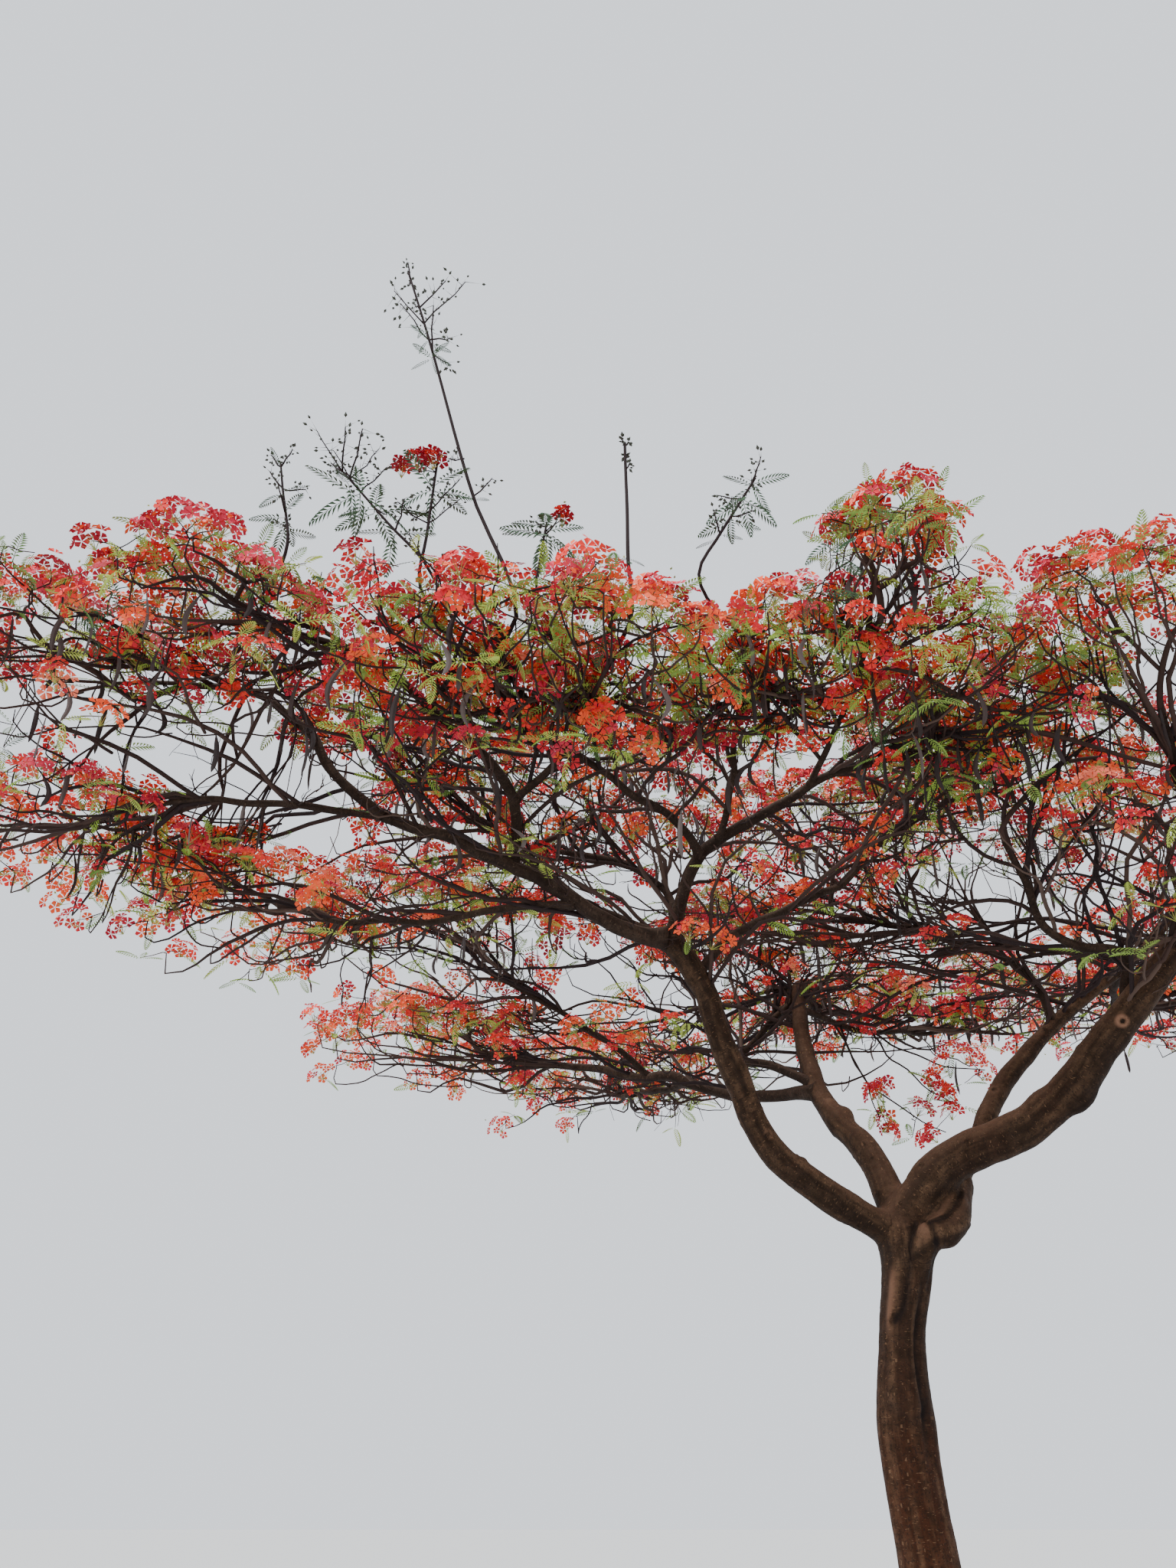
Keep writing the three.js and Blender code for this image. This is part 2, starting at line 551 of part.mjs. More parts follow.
// Builds a mass: its twigs, with a truss of blossom and a leaf at each tip, pods at some forks
// and its shoots. A piece that would leave the mass's cell or touch a limb is left out, with
// everything that grows on it.
function massSolid(mass, limb) {
  const random = seeded(mass.seed);
  const [inner, tip] = ringPoints(limb, limb.from, 1).slice(-2);
  const onward = tip.clone().sub(inner).normalize();
  const root = tip.clone().addScaledVector(onward, JOINT_GAP);
  const twigs = growTwigs(mass, root, onward, tipsOf(mass, root, random), random);
  const solids = [];

  const fits = (geometry) => {
    const position = geometry.attributes.position;
    const inside = [...Array(position.count).keys()].every((index) =>
      inCell(mass, new THREE.Vector3().fromBufferAttribute(position, index)));
    return inside && solidOf(geometry).intersect(taken).isEmpty();
  };
  const keep = (geometry) => {
    const good = fits(geometry);
    if (good) {
      solids.push(solidOf(geometry));
    }
    return good;
  };

  // How far along its points each twig is built before it would touch a limb.
  twigs.forEach((twig, number) => {
    const parent = twigs[twig.parent];
    twig.built = 0;
    if (parent && parent.built < twig.place) {
      return;
    }
    const radii = twig.bears.map(twigRadius);
    if (number === 0) {
      radii[0] = limb.radius[1] * 0.98;
      twig.built = 1;
    }
    const clear = (index) => {
      const [ends, girths] = [twig.points.slice(index - 1, index + 1), radii.slice(index - 1, index + 1)];
      return fits(sweep(ends, girths, TWIG_SIDES));
    };
    while (twig.built + 1 < twig.points.length && clear(twig.built + 1)) {
      twig.built += 1;
    }
    if (twig.built > 0) {
      const sides = number === 0 ? STEM_SIDES : TWIG_SIDES;
      const last = twig.built + 1;
      solids.push(solidOf(sweep(twig.points.slice(0, last), radii.slice(0, last), sides)));
    }
  });

  const dressing = seeded(mass.seed + 7);
  const spread = (low, high) => between(low, high, dressing());
  let pods = 0;
  twigs.forEach((twig) => {
    const end = twig.points[twig.points.length - 1];
    const outward = (Math.atan2(end.y - root.y, end.x - root.x) * 180) / Math.PI;
    const [wide, high] = [TRUSS.wide * spread(0.8, 1.1), TRUSS.high * spread(0.85, 1.2)];
    const truss = trussGeometry(end, wide, high, spread(0, 3));
    const heading = outward + spread(-LEAF.fan, LEAF.fan);
    const rise = LEAF.droop + spread(-12, 12);
    const length = LEAF.length * spread(0.8, 1.1);
    const leaf = leafGeometry(end, toward(heading, rise), length, LEAF.half, LEAF.thick, LEAF.widest);
    const podHeading = spread(0, 360);
    if (twig.built === twig.points.length - 1) {
      keep(truss);
      keep(leaf);
    }
    if (twig.built > 1 && pods < mass.pods) {
      pods += keep(podGeometry(twig.points[twig.built - 1], podHeading)) ? 1 : 0;
    }
  });

  for (const shoot of SHOOTS.filter((one) => one.on === mass.name)) {
    const path = shootPath(shoot, twigs[0].points[2]);
    const [thick, thin] = shoot.radius;
    const radii = path.map((point, index) => between(thick, thin, index / SHOOT_STEPS));
    if (!keep(sweep(path, radii, TWIG_SIDES))) {
      throw new Error(`a shoot leaves the space of ${mass.name}`);
    }
    for (let sprig = 0; sprig < shoot.sprigs; sprig += 1) {
      const place = pointOn(path, between(SPRIG.from, 0.98, (sprig + 1) / shoot.sprigs));
      const length = SPRIG.length * spread(0.75, 1.1);
      const forward = toward(sprig * SPRIG.turn, SPRIG.rise);
      keep(leafGeometry(place, forward, length, SPRIG.half, SPRIG.thick, SPRIG.widest));
    }
  }
  return wasm.Manifold.union(solids);
}

MASSES.forEach((mass, index) => {
  mass.seed = 101 + index * 17;
  mass.turn = index * 0.7;
  mass.tips = mass.tips ?? USUAL_TIPS;
  mass.pods = index % 3 === 0 ? 2 : 1;
  const solid = massSolid(mass, limbNamed.get(mass.on));
  tree.add(meshOf(mass.name, solid, BLOSSOM_COLOUR, 0.8));
});

export default tree;
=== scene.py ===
"""The looks of the flame tree: bark, twigs, blossom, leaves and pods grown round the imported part.

Lengths are millimetres until a mesh is made, and metres in Blender. +Z is up, and the origin is
the middle of the flat cut under the trunk. Headings are degrees round from +X toward +Y, and
rises are degrees up from level. A twig grows here by the rule of the part's source, with the same
seeds, and is then carried on to finer twigs within the same reach.
"""
import math

import bpy
import numpy as np
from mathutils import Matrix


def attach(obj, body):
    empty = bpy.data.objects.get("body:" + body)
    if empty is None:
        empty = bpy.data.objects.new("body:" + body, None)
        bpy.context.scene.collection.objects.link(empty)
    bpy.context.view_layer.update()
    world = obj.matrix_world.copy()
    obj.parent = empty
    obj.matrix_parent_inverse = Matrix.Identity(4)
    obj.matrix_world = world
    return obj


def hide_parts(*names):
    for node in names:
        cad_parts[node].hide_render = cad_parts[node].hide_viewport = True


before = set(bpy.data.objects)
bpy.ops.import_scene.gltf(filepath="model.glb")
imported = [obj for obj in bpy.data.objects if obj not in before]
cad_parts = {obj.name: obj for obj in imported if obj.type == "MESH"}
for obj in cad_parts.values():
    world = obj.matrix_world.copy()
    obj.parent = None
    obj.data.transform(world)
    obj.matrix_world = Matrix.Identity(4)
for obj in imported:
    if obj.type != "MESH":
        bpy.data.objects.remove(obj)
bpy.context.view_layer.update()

MM = 0.001

# The photograph's camera.
EYE = (-2.475, -10.0, 1.6)
TILT = 31.0
LENS = 27.07

# The trunk: where its heart stands at each height, and how thick it is there.
TRUNK_HEART = [(0, 0, 0), (-60, 0, 1140), (-100, 5, 2000), (-50, 0, 2600), (60, -5, 3160), (50, 10, 3620)]
TRUNK_GIRTH = {"height": [0, 250, 600, 1140, 2100, 2650, 3160, 3420, 3620],
               "radius": [262, 238, 222, 212, 211, 181, 205, 196, 90]}
ROOT_FLARE = {"ridges": 5, "reach": 0.62, "fade": 210, "turn": 0.5}
TRUNK_GROOVE = {"heading": -58, "width": 22, "depth": 0.16, "middle": 2450, "length": 600}

# Limbs: name, what bears it (its root point inside the trunk, or a limb and a share of it),
# headings, rises, length, radius at both ends.
LIMBS = [
    ("bough_left_low", (30, 0, 3360),
     [183, 198, 218], [28, 28, 71], 1710, (134, 116)),
    ("bough_left_high", ("bough_left_low", 1),
     [217, 216, 209], [60, 71, 31], 1450, (116, 98)),
    ("limb_left", ("bough_left_high", 1),
     [194, 197, 212, 196], [0, 32, 7, 12], 2620, (70, 45)),
    ("limb_left_top", ("limb_left", 1),
     [210, 189, 199, 185], [27, 59, 12, -36], 2350, (44, 26)),
    ("limb_left_rim", ("limb_left", 0.96),
     [190, 188, 181], [8, 1, -12], 2030, (34, 22)),
    ("limb_left_front", ("limb_left", 0.55),
     [299, 221, 221, 197], [57, 23, 26, 1], 2760, (50, 26)),
    ("limb_left_inner", ("limb_left_front", 0.2),
     [331, 299, 302], [28, 23, 38], 1350, (36, 24)),
    ("limb_left_low", ("limb_left", 0.33),
     [169, 163, 188], [2, -3, 16], 2540, (36, 22)),
    ("limb_left_back", ("bough_left_high", 0.97),
     [168, 163, 182, 179], [27, 38, 48, -11], 2660, (50, 28)),
    ("limb_middle", ("bough_left_high", 0.96),
     [303, 321, 334, 330, 334, 336], [73, 65, 13, 23, 2, -4], 2850, (62, 24)),
    ("limb_middle_left", ("limb_middle", 0.28),
     [238, 215, 228, 214], [33, 7, 14, 20], 2300, (38, 24)),
    ("limb_middle_front", ("limb_middle", 0.36),
     [290, 265, 313], [48, 28, 22], 1630, (30, 22)),
    ("limb_middle_hump", ("limb_middle", 0.68),
     [280, 278], [22, 2], 1720, (28, 20)),
    ("limb_middle_back", ("bough_left_high", 0.93),
     [70, 158, 158], [92, 31, 12], 2190, (42, 26)),
    ("limb_long_right", ("bough_left_high", 0.72),
     [10, -2, 1, 0], [61, 17, 48, 24], 2930, (42, 24)),
    ("bough_back", (50, 60, 3450),
     [98, 124, 88, 77, 68, 72], [72, 45, 57, 55, -14, 38], 5260, (136, 28)),
    ("limb_back_left", ("bough_back", 0.32),
     [130, 147, 155, 157], [5, 21, 12, 18], 4050, (66, 30)),
    ("limb_back_mid", ("limb_back_left", 0.5),
     [191, 193], [40, 21], 1990, (34, 24)),
    ("limb_back_low", ("limb_back_left", 0.38),
     [111, 111], [8, 16], 2170, (36, 24)),
    ("limb_back_rising", ("bough_back", 0.33),
     [156, 140, -30, 100], [40, 18, 43, 54], 2390, (46, 28)),
    ("limb_back_right", ("bough_back", 0.57),
     [44, 38, 32], [-3, 7, 16], 2480, (36, 24)),
    ("bough_right_low", (80, 0, 3400),
     [-8, -16, -27], [71, 17, 35], 1780, (167, 162)),
    ("bough_right_high", ("bough_right_low", 1),
     [-39, -38, -37], [41, 42, 42], 1500, (162, 115)),
    ("limb_right_hump", ("bough_right_high", 0.97),
     [-82, -104, -124], [46, 42, 38], 2050, (50, 26)),
    ("limb_right_front", ("bough_right_high", 1),
     [-34, -52, -73], [23, 31, 29], 2480, (85, 30)),
    ("limb_right_rim", ("limb_right_front", 0.35),
     [0, 0, 0], [20, 15, 8], 2380, (55, 28)),
    ("limb_right_inner", ("bough_right_high", 0.6),
     [350, 169, 224, 227], [109, 1, 52, 56], 1890, (50, 26)),
    ("elbow", (130, -120, 3080),
     [-112, 19, 53, 55], [81, 32, 27, 32], 1290, (108, 120)),
    ("bough_rear", ("elbow", 1),
     [59, 11, 4, 11], [61, 46, 34, 46], 4100, (106, 40)),
    ("limb_rear_rim", ("bough_rear", 0.88),
     [11, -10, -7], [2, 5, -2], 2120, (42, 26)),
    ("limb_rear_back", ("bough_rear", 0.78),
     [91, 65, 35], [-10, 4, 19], 1990, (44, 26)),
    ("limb_rear_left", ("bough_rear", 0.5),
     [107, 171, 167], [91, 20, 16], 2560, (42, 26)),
]
# Share of each rooted limb that lies in the trunk, and how much of that share its solid leaves out.
STUBS = {"bough_left_low": 0.2, "bough_back": 0.07, "bough_right_low": 0.2, "elbow": 0.25}
STUB_LEFT_OUT = 0.7
SKIN_BOUGHS = ["bough_left_low", "bough_left_high", "bough_back", "bough_right_low",
               "bough_right_high", "elbow", "bough_rear"]
# Steps of a limb's path; the radius from which a limb is a bough; on boughs and on thinner limbs,
# how many steps lie between the rings of the solid; and how a thin limb wavers.
PATH_STEPS = 24
BOUGH_RADIUS = 80
RING_STEPS = {"bough": 4, "thin": 5}
THIN_WAVER = {"pitch": 420, "wide": 45}

# Masses of foliage: name, the limb that bears it, middle, half width, height, tips, and what the
# looks need: the share of it that is in blossom, and how many side stems fill it.
MASSES = [
    ("mass_far_left_top", "limb_left_top", (-6450, -2900, 6880), 1000, 520, 9, 0.72, 6),
    ("mass_far_left_low", "limb_left_rim", (-6950, -1400, 6200), 1100, 500, 9, 0.78, 6),
    ("mass_left_hump", "limb_left_front", (-5200, -3300, 7000), 850, 580, 10, 0.70, 5),
    ("mass_left_low", "limb_left_low", (-5600, -300, 6000), 1150, 500, 8, 0.88, 6),
    ("mass_left_back", "limb_left_back", (-4100, -800, 7200), 1150, 600, 8, 0.66, 4),
    ("mass_left_inner", "limb_left_inner", (-2400, -3250, 6600), 850, 470, 9, 0.66, 6),
    ("mass_middle_left", "limb_middle_left", (-3450, -3250, 6750), 900, 520, 9, 0.68, 6),
    ("mass_middle_front", "limb_middle_front", (-1150, -2800, 6780), 850, 400, 8, 0.66, 6),
    ("mass_middle_hump", "limb_middle_hump", (-330, -3600, 7250), 520, 640, 9, 0.66, 4),
    ("mass_middle_right", "limb_middle", (500, -2600, 6800), 950, 540, 9, 0.62, 6),
    ("mass_middle_top", "limb_middle_back", (-2300, 100, 7400), 1250, 650, 10, 0.68, 6),
    ("mass_long_right", "limb_long_right", (1000, -500, 7350), 1150, 600, 9, 0.62, 5),
    ("mass_right_inner", "limb_right_inner", (1500, -1700, 6900), 850, 550, 8, 0.58, 5),
    ("mass_right_hump", "limb_right_hump", (1550, -3300, 6950), 900, 620, 9, 0.62, 6),
    ("mass_right_front", "limb_right_front", (3700, -3050, 6850), 1250, 600, 9, 0.80, 6),
    ("mass_right_rim", "limb_right_rim", (5900, -1800, 6500), 1250, 600, 8, 0.74, 6),
    ("mass_rear_top", "bough_rear", (3200, 450, 7350), 1450, 650, 10, 0.76, 7),
    ("mass_rear_rim", "limb_rear_rim", (6000, 1000, 6700), 1300, 600, 8, 0.74, 6),
    ("mass_rear_back", "limb_rear_back", (4200, 3300, 6500), 1300, 600, 8, 0.72, 6),
    ("mass_rear_left", "limb_rear_left", (100, 1000, 7500), 1300, 650, 10, 0.80, 7),
    ("mass_left_rear", "limb_back_mid", (-4300, 1500, 6700), 1250, 600, 8, 0.86, 7),
    ("mass_back_left", "limb_back_left", (-4400, 3300, 6050), 1200, 500, 8, 0.86, 7),
    ("mass_back_low", "limb_back_low", (-2200, 4500, 6000), 1250, 500, 8, 0.84, 7),
    ("mass_back_rising", "limb_back_rising", (-700, 2650, 7000), 1150, 600, 8, 0.76, 6),
    ("mass_back", "bough_back", (300, 4500, 6700), 1200, 550, 8, 0.70, 6),
    ("mass_back_right", "limb_back_right", (2300, 3800, 6700), 1250, 550, 8, 0.70, 6),
]

# The source's growth rule.
JOINT_GAP, MASS_GAP = 0.35, 12
TIP_SPREAD, TIP_SCATTER, TIP_TURN = 98, 0.14, 0.7
TIP_TRIES, TIP_DRAWN_BACK = 8, 0.12
SUNFLOWER_TURN = math.pi * (3 - math.sqrt(5))
STEM_STRAIGHT, FORK_SHARE, FORK_CROOK, SIDE_BACK = 60, 0.44, 0.1, 0.12
TWIG_TIP, TWIG_POWER = 10, 0.42
TRUSS_WIDE = 265
RULE_SEED, RULE_SEED_STEP = 101, 17

# What the looks add to it. Each kind of stem has its radius at one tip and how fast that grows with
# the tips that it bears (power), the radius it ends with (last), how it is drawn (stations, sides),
# how far its last twigs rise (lift), the share of its forks that carries a pod, and how long its
# straight start is. STEM_RISE shapes a last twig's rise, and pods hang only above POD_FLOOR.
STEM_RISE = {"back": 0.3, "half_way": 0.35, "thinner": 0.85}
POD_FLOOR = 6200
# No end is further from its mass than its half width and a spare length, or above a dome that is
# this much wider than the mass.
END_SPARE = 60
DOME_WIDER, DOME_RIM = 1.2, 0.98
SPRAY = {"radius": 4.4, "last": 3.6, "drawn": (4, 3), "start": 40, "tips": 5, "wide": 370, "high": 150,
         "spread": 86, "reach": (0.82, 1.12), "sunk": 0.8, "spare": 240}
# What a spray's tip bears: a truss with now and then a leaf below it, or a tuft of leaves.
TRUSSED = {"share": 0.82, "own_tone": 0.75, "size": (0.7, 1.2), "leaf_share": 0.4, "drop": 50,
           "rise": (-40, 5)}
TUFT = {"share": 0.82, "leaves": (2, 4), "drop": 15, "rise": (-20, 32)}
SPRAY_LEAF = {"turn": 121, "size": (0.5, 0.95), "own_green": 0.7}
# The height up to which shades are those of the low crown, and how much higher those of the high crown hold.
# The high crown's darker shades are partly painted shade of its backlit top.
TONE_HEIGHT, TONE_FADE = 6400, 900
# The source's own twigs: the last radius and how much thicker all are drawn; the foot as a share of
# the limb's radius, and how far it is hidden in the limb; stations of a long and a short twig; the
# share of sprays in full blossom, and how sparse the others are; pods at forks; how a spray leans
# out of the dome and upward, and how far its base is below its end and back along its twig.
MAIN_TWIGS = {"last": 7.0, "thicker": 1.15, "foot": 0.98, "hidden": 30, "long": 12, "short": 9,
              "sides": 6, "full_share": 0.8, "sparse": 0.4, "pod_share": 0.5, "pod_floor": 6300,
              "lean": (0.6, 0.5), "below": 172.5, "back": 60}
# Stems that fill a mass from below. from_far is the share of a rooted or long limb from which they
# may leave it, and from_near that of any other limb.
SIDE_STEMS = {"radius": 8.5, "last": 5.5, "power": 0.62, "drawn": (11, 5), "lift": 280, "pods": 0.16,
              "start": 170, "tips": 4, "reach": 1.08, "scatter": (0.88, 1.06), "spare": 100,
              "lean": (0.4, 0.7), "below": 110, "blossom": 0.95, "spray": 0.72, "long_limb": 3500,
              "from_far": 0.45, "from_near": 0.2}
# Crooked stems of the net, and long ones with the heading that they take on a few limbs; then short
# bare twigs. each is how many of them a limb has, and tips how many ends each stem has.
NET_STEMS = {"radius": 6.5, "last": 3.6, "power": 0.66, "drawn": (11, 5), "lift": 170, "pods": 0.12,
             "start": 140, "each": 9, "tips": 5, "length": (900, 2600), "spread": (0.34, 0.34, 0.12),
             "reach": (0.55, 1.05), "ahead": (0.2, 1.0), "aside": (0.4, 1.0), "rise": (0.0, 0.35),
             "spray_share": 0.4, "blossom": 0.62, "spray": 0.6}
LONG_STEMS = {"radius": 9.0, "last": 4.0, "power": 0.5, "drawn": (16, 5), "lift": 120, "start": 160,
              "each": 6, "tips": 7, "length": (2300, 3500), "spread": (0.2, 0.2, 0.07), "reach": (0.6, 1),
              "shares": (0.5, 0.95), "turn": (-24, 24), "rise": (2, 14)}
LONG_STEM_LIMBS = {"bough_rear": 172, "limb_rear_left": 170, "bough_back": 150}
BARE_TWIGS = {"radius": 4.0, "last": 2.4, "drawn": (6, 3), "start": 60, "each": 8, "tips": 3,
              "length": (300, 850), "spread": 0.3, "reach": (0.7, 1)}
# Shares of a limb where stems may start: on a bough, on a thinner limb, and the last one.
BOUGH_FROM, LIMB_FROM, STEMS_TO = 0.5, 0.1, 0.97

# Blossom, leaf, pod and bud, at their real sizes.
FLOWER = {"petals": 5, "petal": 56, "standard": 1.12, "half": 22, "widest": 0.7, "cup": 15, "tip": 6,
          "claw": 3}
TRUSS = {"flowers": 9, "wide": 128, "high": 95, "spread": 84, "foot": 75, "stalk": 3.2, "buds": 2,
         "bud_height": 40, "bud_spread": (70, 70, 30)}
LEAF = {"length": 330, "pinna": 80, "half": 8.5, "pairs": 10, "bare": 0.16, "stalk": 3.2, "arch": 5,
        "tip_drop": 8, "droop": 70}
POD = {"length": 430, "half": 21, "thick": 7, "steps": 8, "bow": 130, "hook": 55, "size": (0.65, 1.15)}
BUD = {"length": 26, "half": 8, "widest": 0.42, "stalk": 3.0}

# Shoots that stand above the crown: mass, the point near its top that it passes through, end and
# radii, and its sprigs: their share of it, how many stalks of buds each carries and how long they
# are, and how many leaves and their size.
SHOOTS = [
    ("mass_middle_left", (-3010, -3300, 6960), (-3990, -3700, 10420), (20, 10),
     [(0.60, 1, 220, 1, 0.4), (0.66, 1, 200, 0, 0), (0.845, 2, 330, 6, 0.5), (0.87, 2, 420, 3, 0.55),
      (0.90, 2, 460, 2, 0.4), (0.93, 2, 330, 0, 0), (0.985, 2, 150, 0, 0)]),
    ("mass_middle_left", (-3725, -3300, 7380), (-3655, -3350, 8650), (15, 9),
     [(0.50, 2, 280, 2, 0.8), (0.66, 2, 320, 0, 0), (0.72, 2, 320, 1, 0.6), (0.84, 1, 200, 6, 1.15)]),
    ("mass_left_hump", (-4745, -3300, 7760), (-4900, -3330, 8560), (15, 9),
     [(0.52, 1, 200, 3, 0.9), (0.62, 1, 200, 3, 0.9), (0.80, 2, 220, 2, 0.7), (0.97, 2, 180, 1, 0.5)]),
    ("mass_left_inner", (-2170, -3300, 7000), (-2180, -3300, 8820), (19, 13),
     [(0.60, 0, 0, 4, 0.4), (0.90, 1, 60, 0, 0), (0.95, 1, 50, 0, 0), (0.99, 2, 60, 0, 0)]),
    ("mass_middle_front", (-1640, -3250, 7540), (-1170, -3350, 8380), (15, 9),
     [(0.62, 1, 200, 2, 0.6), (0.74, 1, 200, 4, 0.8), (0.86, 1, 220, 5, 0.9), (0.97, 2, 200, 4, 0.9)]),
    ("mass_middle_left", (-3690, -3300, 7540), (-4440, -3330, 8520), (14, 8),
     [(0.60, 1, 240, 3, 1.0), (0.74, 1, 300, 5, 1.2), (0.84, 2, 360, 5, 1.25), (0.92, 3, 360, 2, 0.9),
      (0.97, 4, 330, 0, 0)]),
    ("mass_left_inner", (-2860, -3300, 7370), (-2790, -3300, 7960), (12, 8),
     [(0.86, 1, 200, 4, 1.0), (0.96, 1, 160, 7, 1.15)]),
]
# Trusses on shoots: number of the shoot, share of it, reach from it and size.
SHOOT_TRUSSES = [(1, 0.93, (-150, -40, 20), 0.62), (1, 0.93, (-20, -60, 0), 0.6),
                 (1, 0.93, (-270, 0, -30), 0.5), (6, 0.97, (120, 0, 60), 0.36)]
# The share of a shoot at which it passes through its point; how shoots and sprigs are drawn, and their
# shades, the darkest of twigs, leaves and petals, as painted shade of shoots seen against the bright sky; and
# a sprig's turn from the last sprig and stalk, its rise, sag, radii and buds.
SHOOT_THROUGH = 0.4
SHOOT_DRAWN, SPRIG_DRAWN, SHOOT_SHADE, SHOOT_GREEN, SHOOT_TONE = (18, 6), (5, 4), 2, 5, 7
SPRIG = {"turn": 137.5, "next": 150, "rise": (26, 60), "sag": 14, "radii": (8, 6.5, 4.5), "buds": 9,
         "first_bud": 0.35}

# Marks on the bark: bough, share of it, heading and rise from its heart, reach, height, how far its
# middle is sunk (a healed cut is a ring round a hollow), and how pale it is worn.
MARKS = [
    ("bough_right_high", 0.51, -113, -19, 46, 17, 1.7, 0.9),
    ("bough_left_high", 0.56, -96, -20, 42, 20, 0.0, 0.1),
    ("bough_left_low", 0.56, -55, 39, 46, 24, 0.0, 0.0),
    ("bough_left_low", 0.79, -76, -3, 36, 16, 1.2, 0.3),
    ("bough_rear", 0.26, -130, 1, 44, 14, 1.4, 0.2),
    ("elbow", 0.62, -60, 40, 60, 18, 0.0, 0.1),
    ("bough_back", 0.17, -110, 10, 56, 22, 0.0, 0.0),
    ("trunk", 0.59, -86, 0, 120, 30, 0.0, 0.0),
    ("trunk", 0.87, -78, 0, 90, 34, 0.0, 0.06),
    ("trunk", 0.30, -120, 0, 90, 12, 0.0, 0.1),
]
# The hollow in the middle of a mark and the pale ring round it, as shares of the mark's reach, and
# how dark the hollow is.
MARK_HOLLOW, MARK_RING, HOLLOW_DARK = 0.45, 0.75, 0.7
# Knobs by their place: middle, reach, height, and how pale: a painted highlight above 0, painted shade below
# 0.
KNOBS = [
    ((149, -342, 3372), 80, 44, 0.36), ((161, -295, 3225), 76, 36, 0.12),
    ((-142, 617, 4532), 80, 38, 0.0), ((-275, 687, 4651), 46, 24, 0.25), ((-368, 767, 4752), 46, 22, 0.3),
    ((1530, -602, 4337), 115, 66, -0.2), ((1480, -500, 4262), 90, 30, -0.2),
]
# Seams in the front of the trunk and fork: line of points (x, height), half width, depth, and how dark the
# painted shade along them is.
TRUNK_SEAMS = [
    ([(122, 3425), (100, 3385), (59, 3295), (26, 3106), (-47, 2840), (-130, 2720)], 16, 20, 0.85),
    ([(198, 3430), (212, 3370), (222, 3320), (226, 3267)], 13, 18, 0.8),
    ([(200, 3420), (262, 3432), (340, 3462), (420, 3540), (478, 3590), (560, 3700)], 15, 14, 0.8),
    ([(226, 3267), (212, 3200), (206, 3121), (173, 2954)], 17, 10, 0.5),
    ([(-150, 3290), (-88, 3262), (-30, 3284)], 10, 7, 0.4),
    ([(-150, 3245), (-88, 3215), (-24, 3235)], 10, 7, 0.4),
    ([(-140, 3192), (-80, 3170), (-24, 3185)], 9, 5, 0.35),
    ([(-225, 2150), (-160, 2085), (-90, 2062), (0, 2105), (40, 2180)], 18, 8, 0.4),
    ([(-250, 2620), (-235, 2400), (-262, 2150)], 26, 4, 0.25),
]
# Seams are on skin that faces the front, this far from the fork's middle, and their painted shade reaches
# wider than they cut in.
SEAM_FRONT = {"middle": 60, "half": 560, "dark_wider": 1.6}
# How far the skin draws a bough aside from its line, so that the elbow is a low, thick arm: by name,
# shares of the length, and at each the shift in x, the lift and how much thicker it is.
BENT = {
    "elbow": ([0, 0.25, 0.38, 0.5, 0.62, 0.75, 0.88, 1], [0, 0, -8, -25, -65, -88, -112, -140],
              [0, -30, -95, -105, -85, -30, 10, 30], [1, 1.02, 1.14, 1.18, 1.16, 1.1, 1.02, 0.92]),
    "bough_rear": ([0, 0.12, 1], [-140, 0, 0], [30, 0, 0], [1, 1, 1]),
}
# Wood grown together between the elbow and the bough above it: points of its line, and its radius.
WEB = [(130, -40, 3380), (300, -40, 3500), (440, 10, 3620), (600, 120, 3760)]
WEB_RADIUS = 100.0
# Twigs that hang below the back limb: the share of it where each leaves, points of its line, and
# the shares of its line where it bears small sprays.
HANGING_LIMB = "limb_back_right"
HANGING = [
    (0.27, [(300, 2050, 5560), (470, 2000, 5130), (800, 1950, 4830), (1120, 1950, 4700)],
     (0.6, 0.78, 0.96)),
    (0.5, [(900, 2250, 5640), (1240, 2050, 5420), (1640, 2000, 5350)], (0.72, 0.96)),
    (0.48, [(760, 2300, 5600), (960, 2050, 5240), (1270, 2000, 4990)], (0.8, 0.97)),
    (0.22, [(330, 2050, 5460), (400, 2000, 5120), (480, 1980, 4850)], (0.97,)),
]
HANGING_TWIG = {"radii": (13, 5), "drawn": (14, 5), "tips": 3, "reach": 90, "size": 0.6}
# Marks that run round or up the trunk. soft is how slowly they fade at their ends.
TRUNK_RIDGE = {"heading": -136, "half": 32, "high": 20, "bottom": 2600, "top": 3140, "soft": 140}
# The crease cuts in and is darkened with painted shade.
TRUNK_CREASE = {"heading": -62, "half": 26, "deep": 24, "bottom": 1700, "top": 3120, "soft": 350,
                "wander": 20, "pitch": 300}
# Painted shade beside the crease, on the stem behind it: how far aside, its half width and its fade.
PAINTED_SHADE_BESIDE_CREASE = {"aside": 110, "half": 100, "soft": 500}
TRUNK_WRINKLES = {"height": 2390, "half": 110, "heading": -98, "wide": 130, "deep": 5, "slope": 0.15,
                  "pitch": 46}
TRUNK_ARC = 200

# The skin of trunk and boughs: pitch of its lattice in metres, rings and sides of its tubes, how far
# they sway, and turns of easing: of all of it, and of its forks (bough, share of it, reach).
LATTICE = 0.019
TRUNK_TUBE = {"rings": 82, "sides": 72}
BOUGH_TUBE = {"rings": 64, "sides": 28, "sway": 0.16}
WEB_RINGS = 24
EASING = {"turns": 44, "whole": 4, "by": 0.5, "forks_by": 0.6}
FORKS = [("bough_left_low", 0.12, 330), ("bough_right_low", 0.14, 330), ("bough_left_high", 0, 190),
         ("bough_right_high", 0, 260), ("elbow", 0, 170), ("bough_rear", 0, 190)]
MAIN_FORK = ((30, 30, 3420), 360)
CUT_FLAT = 9
CORNERS_AT_ONCE = 20000

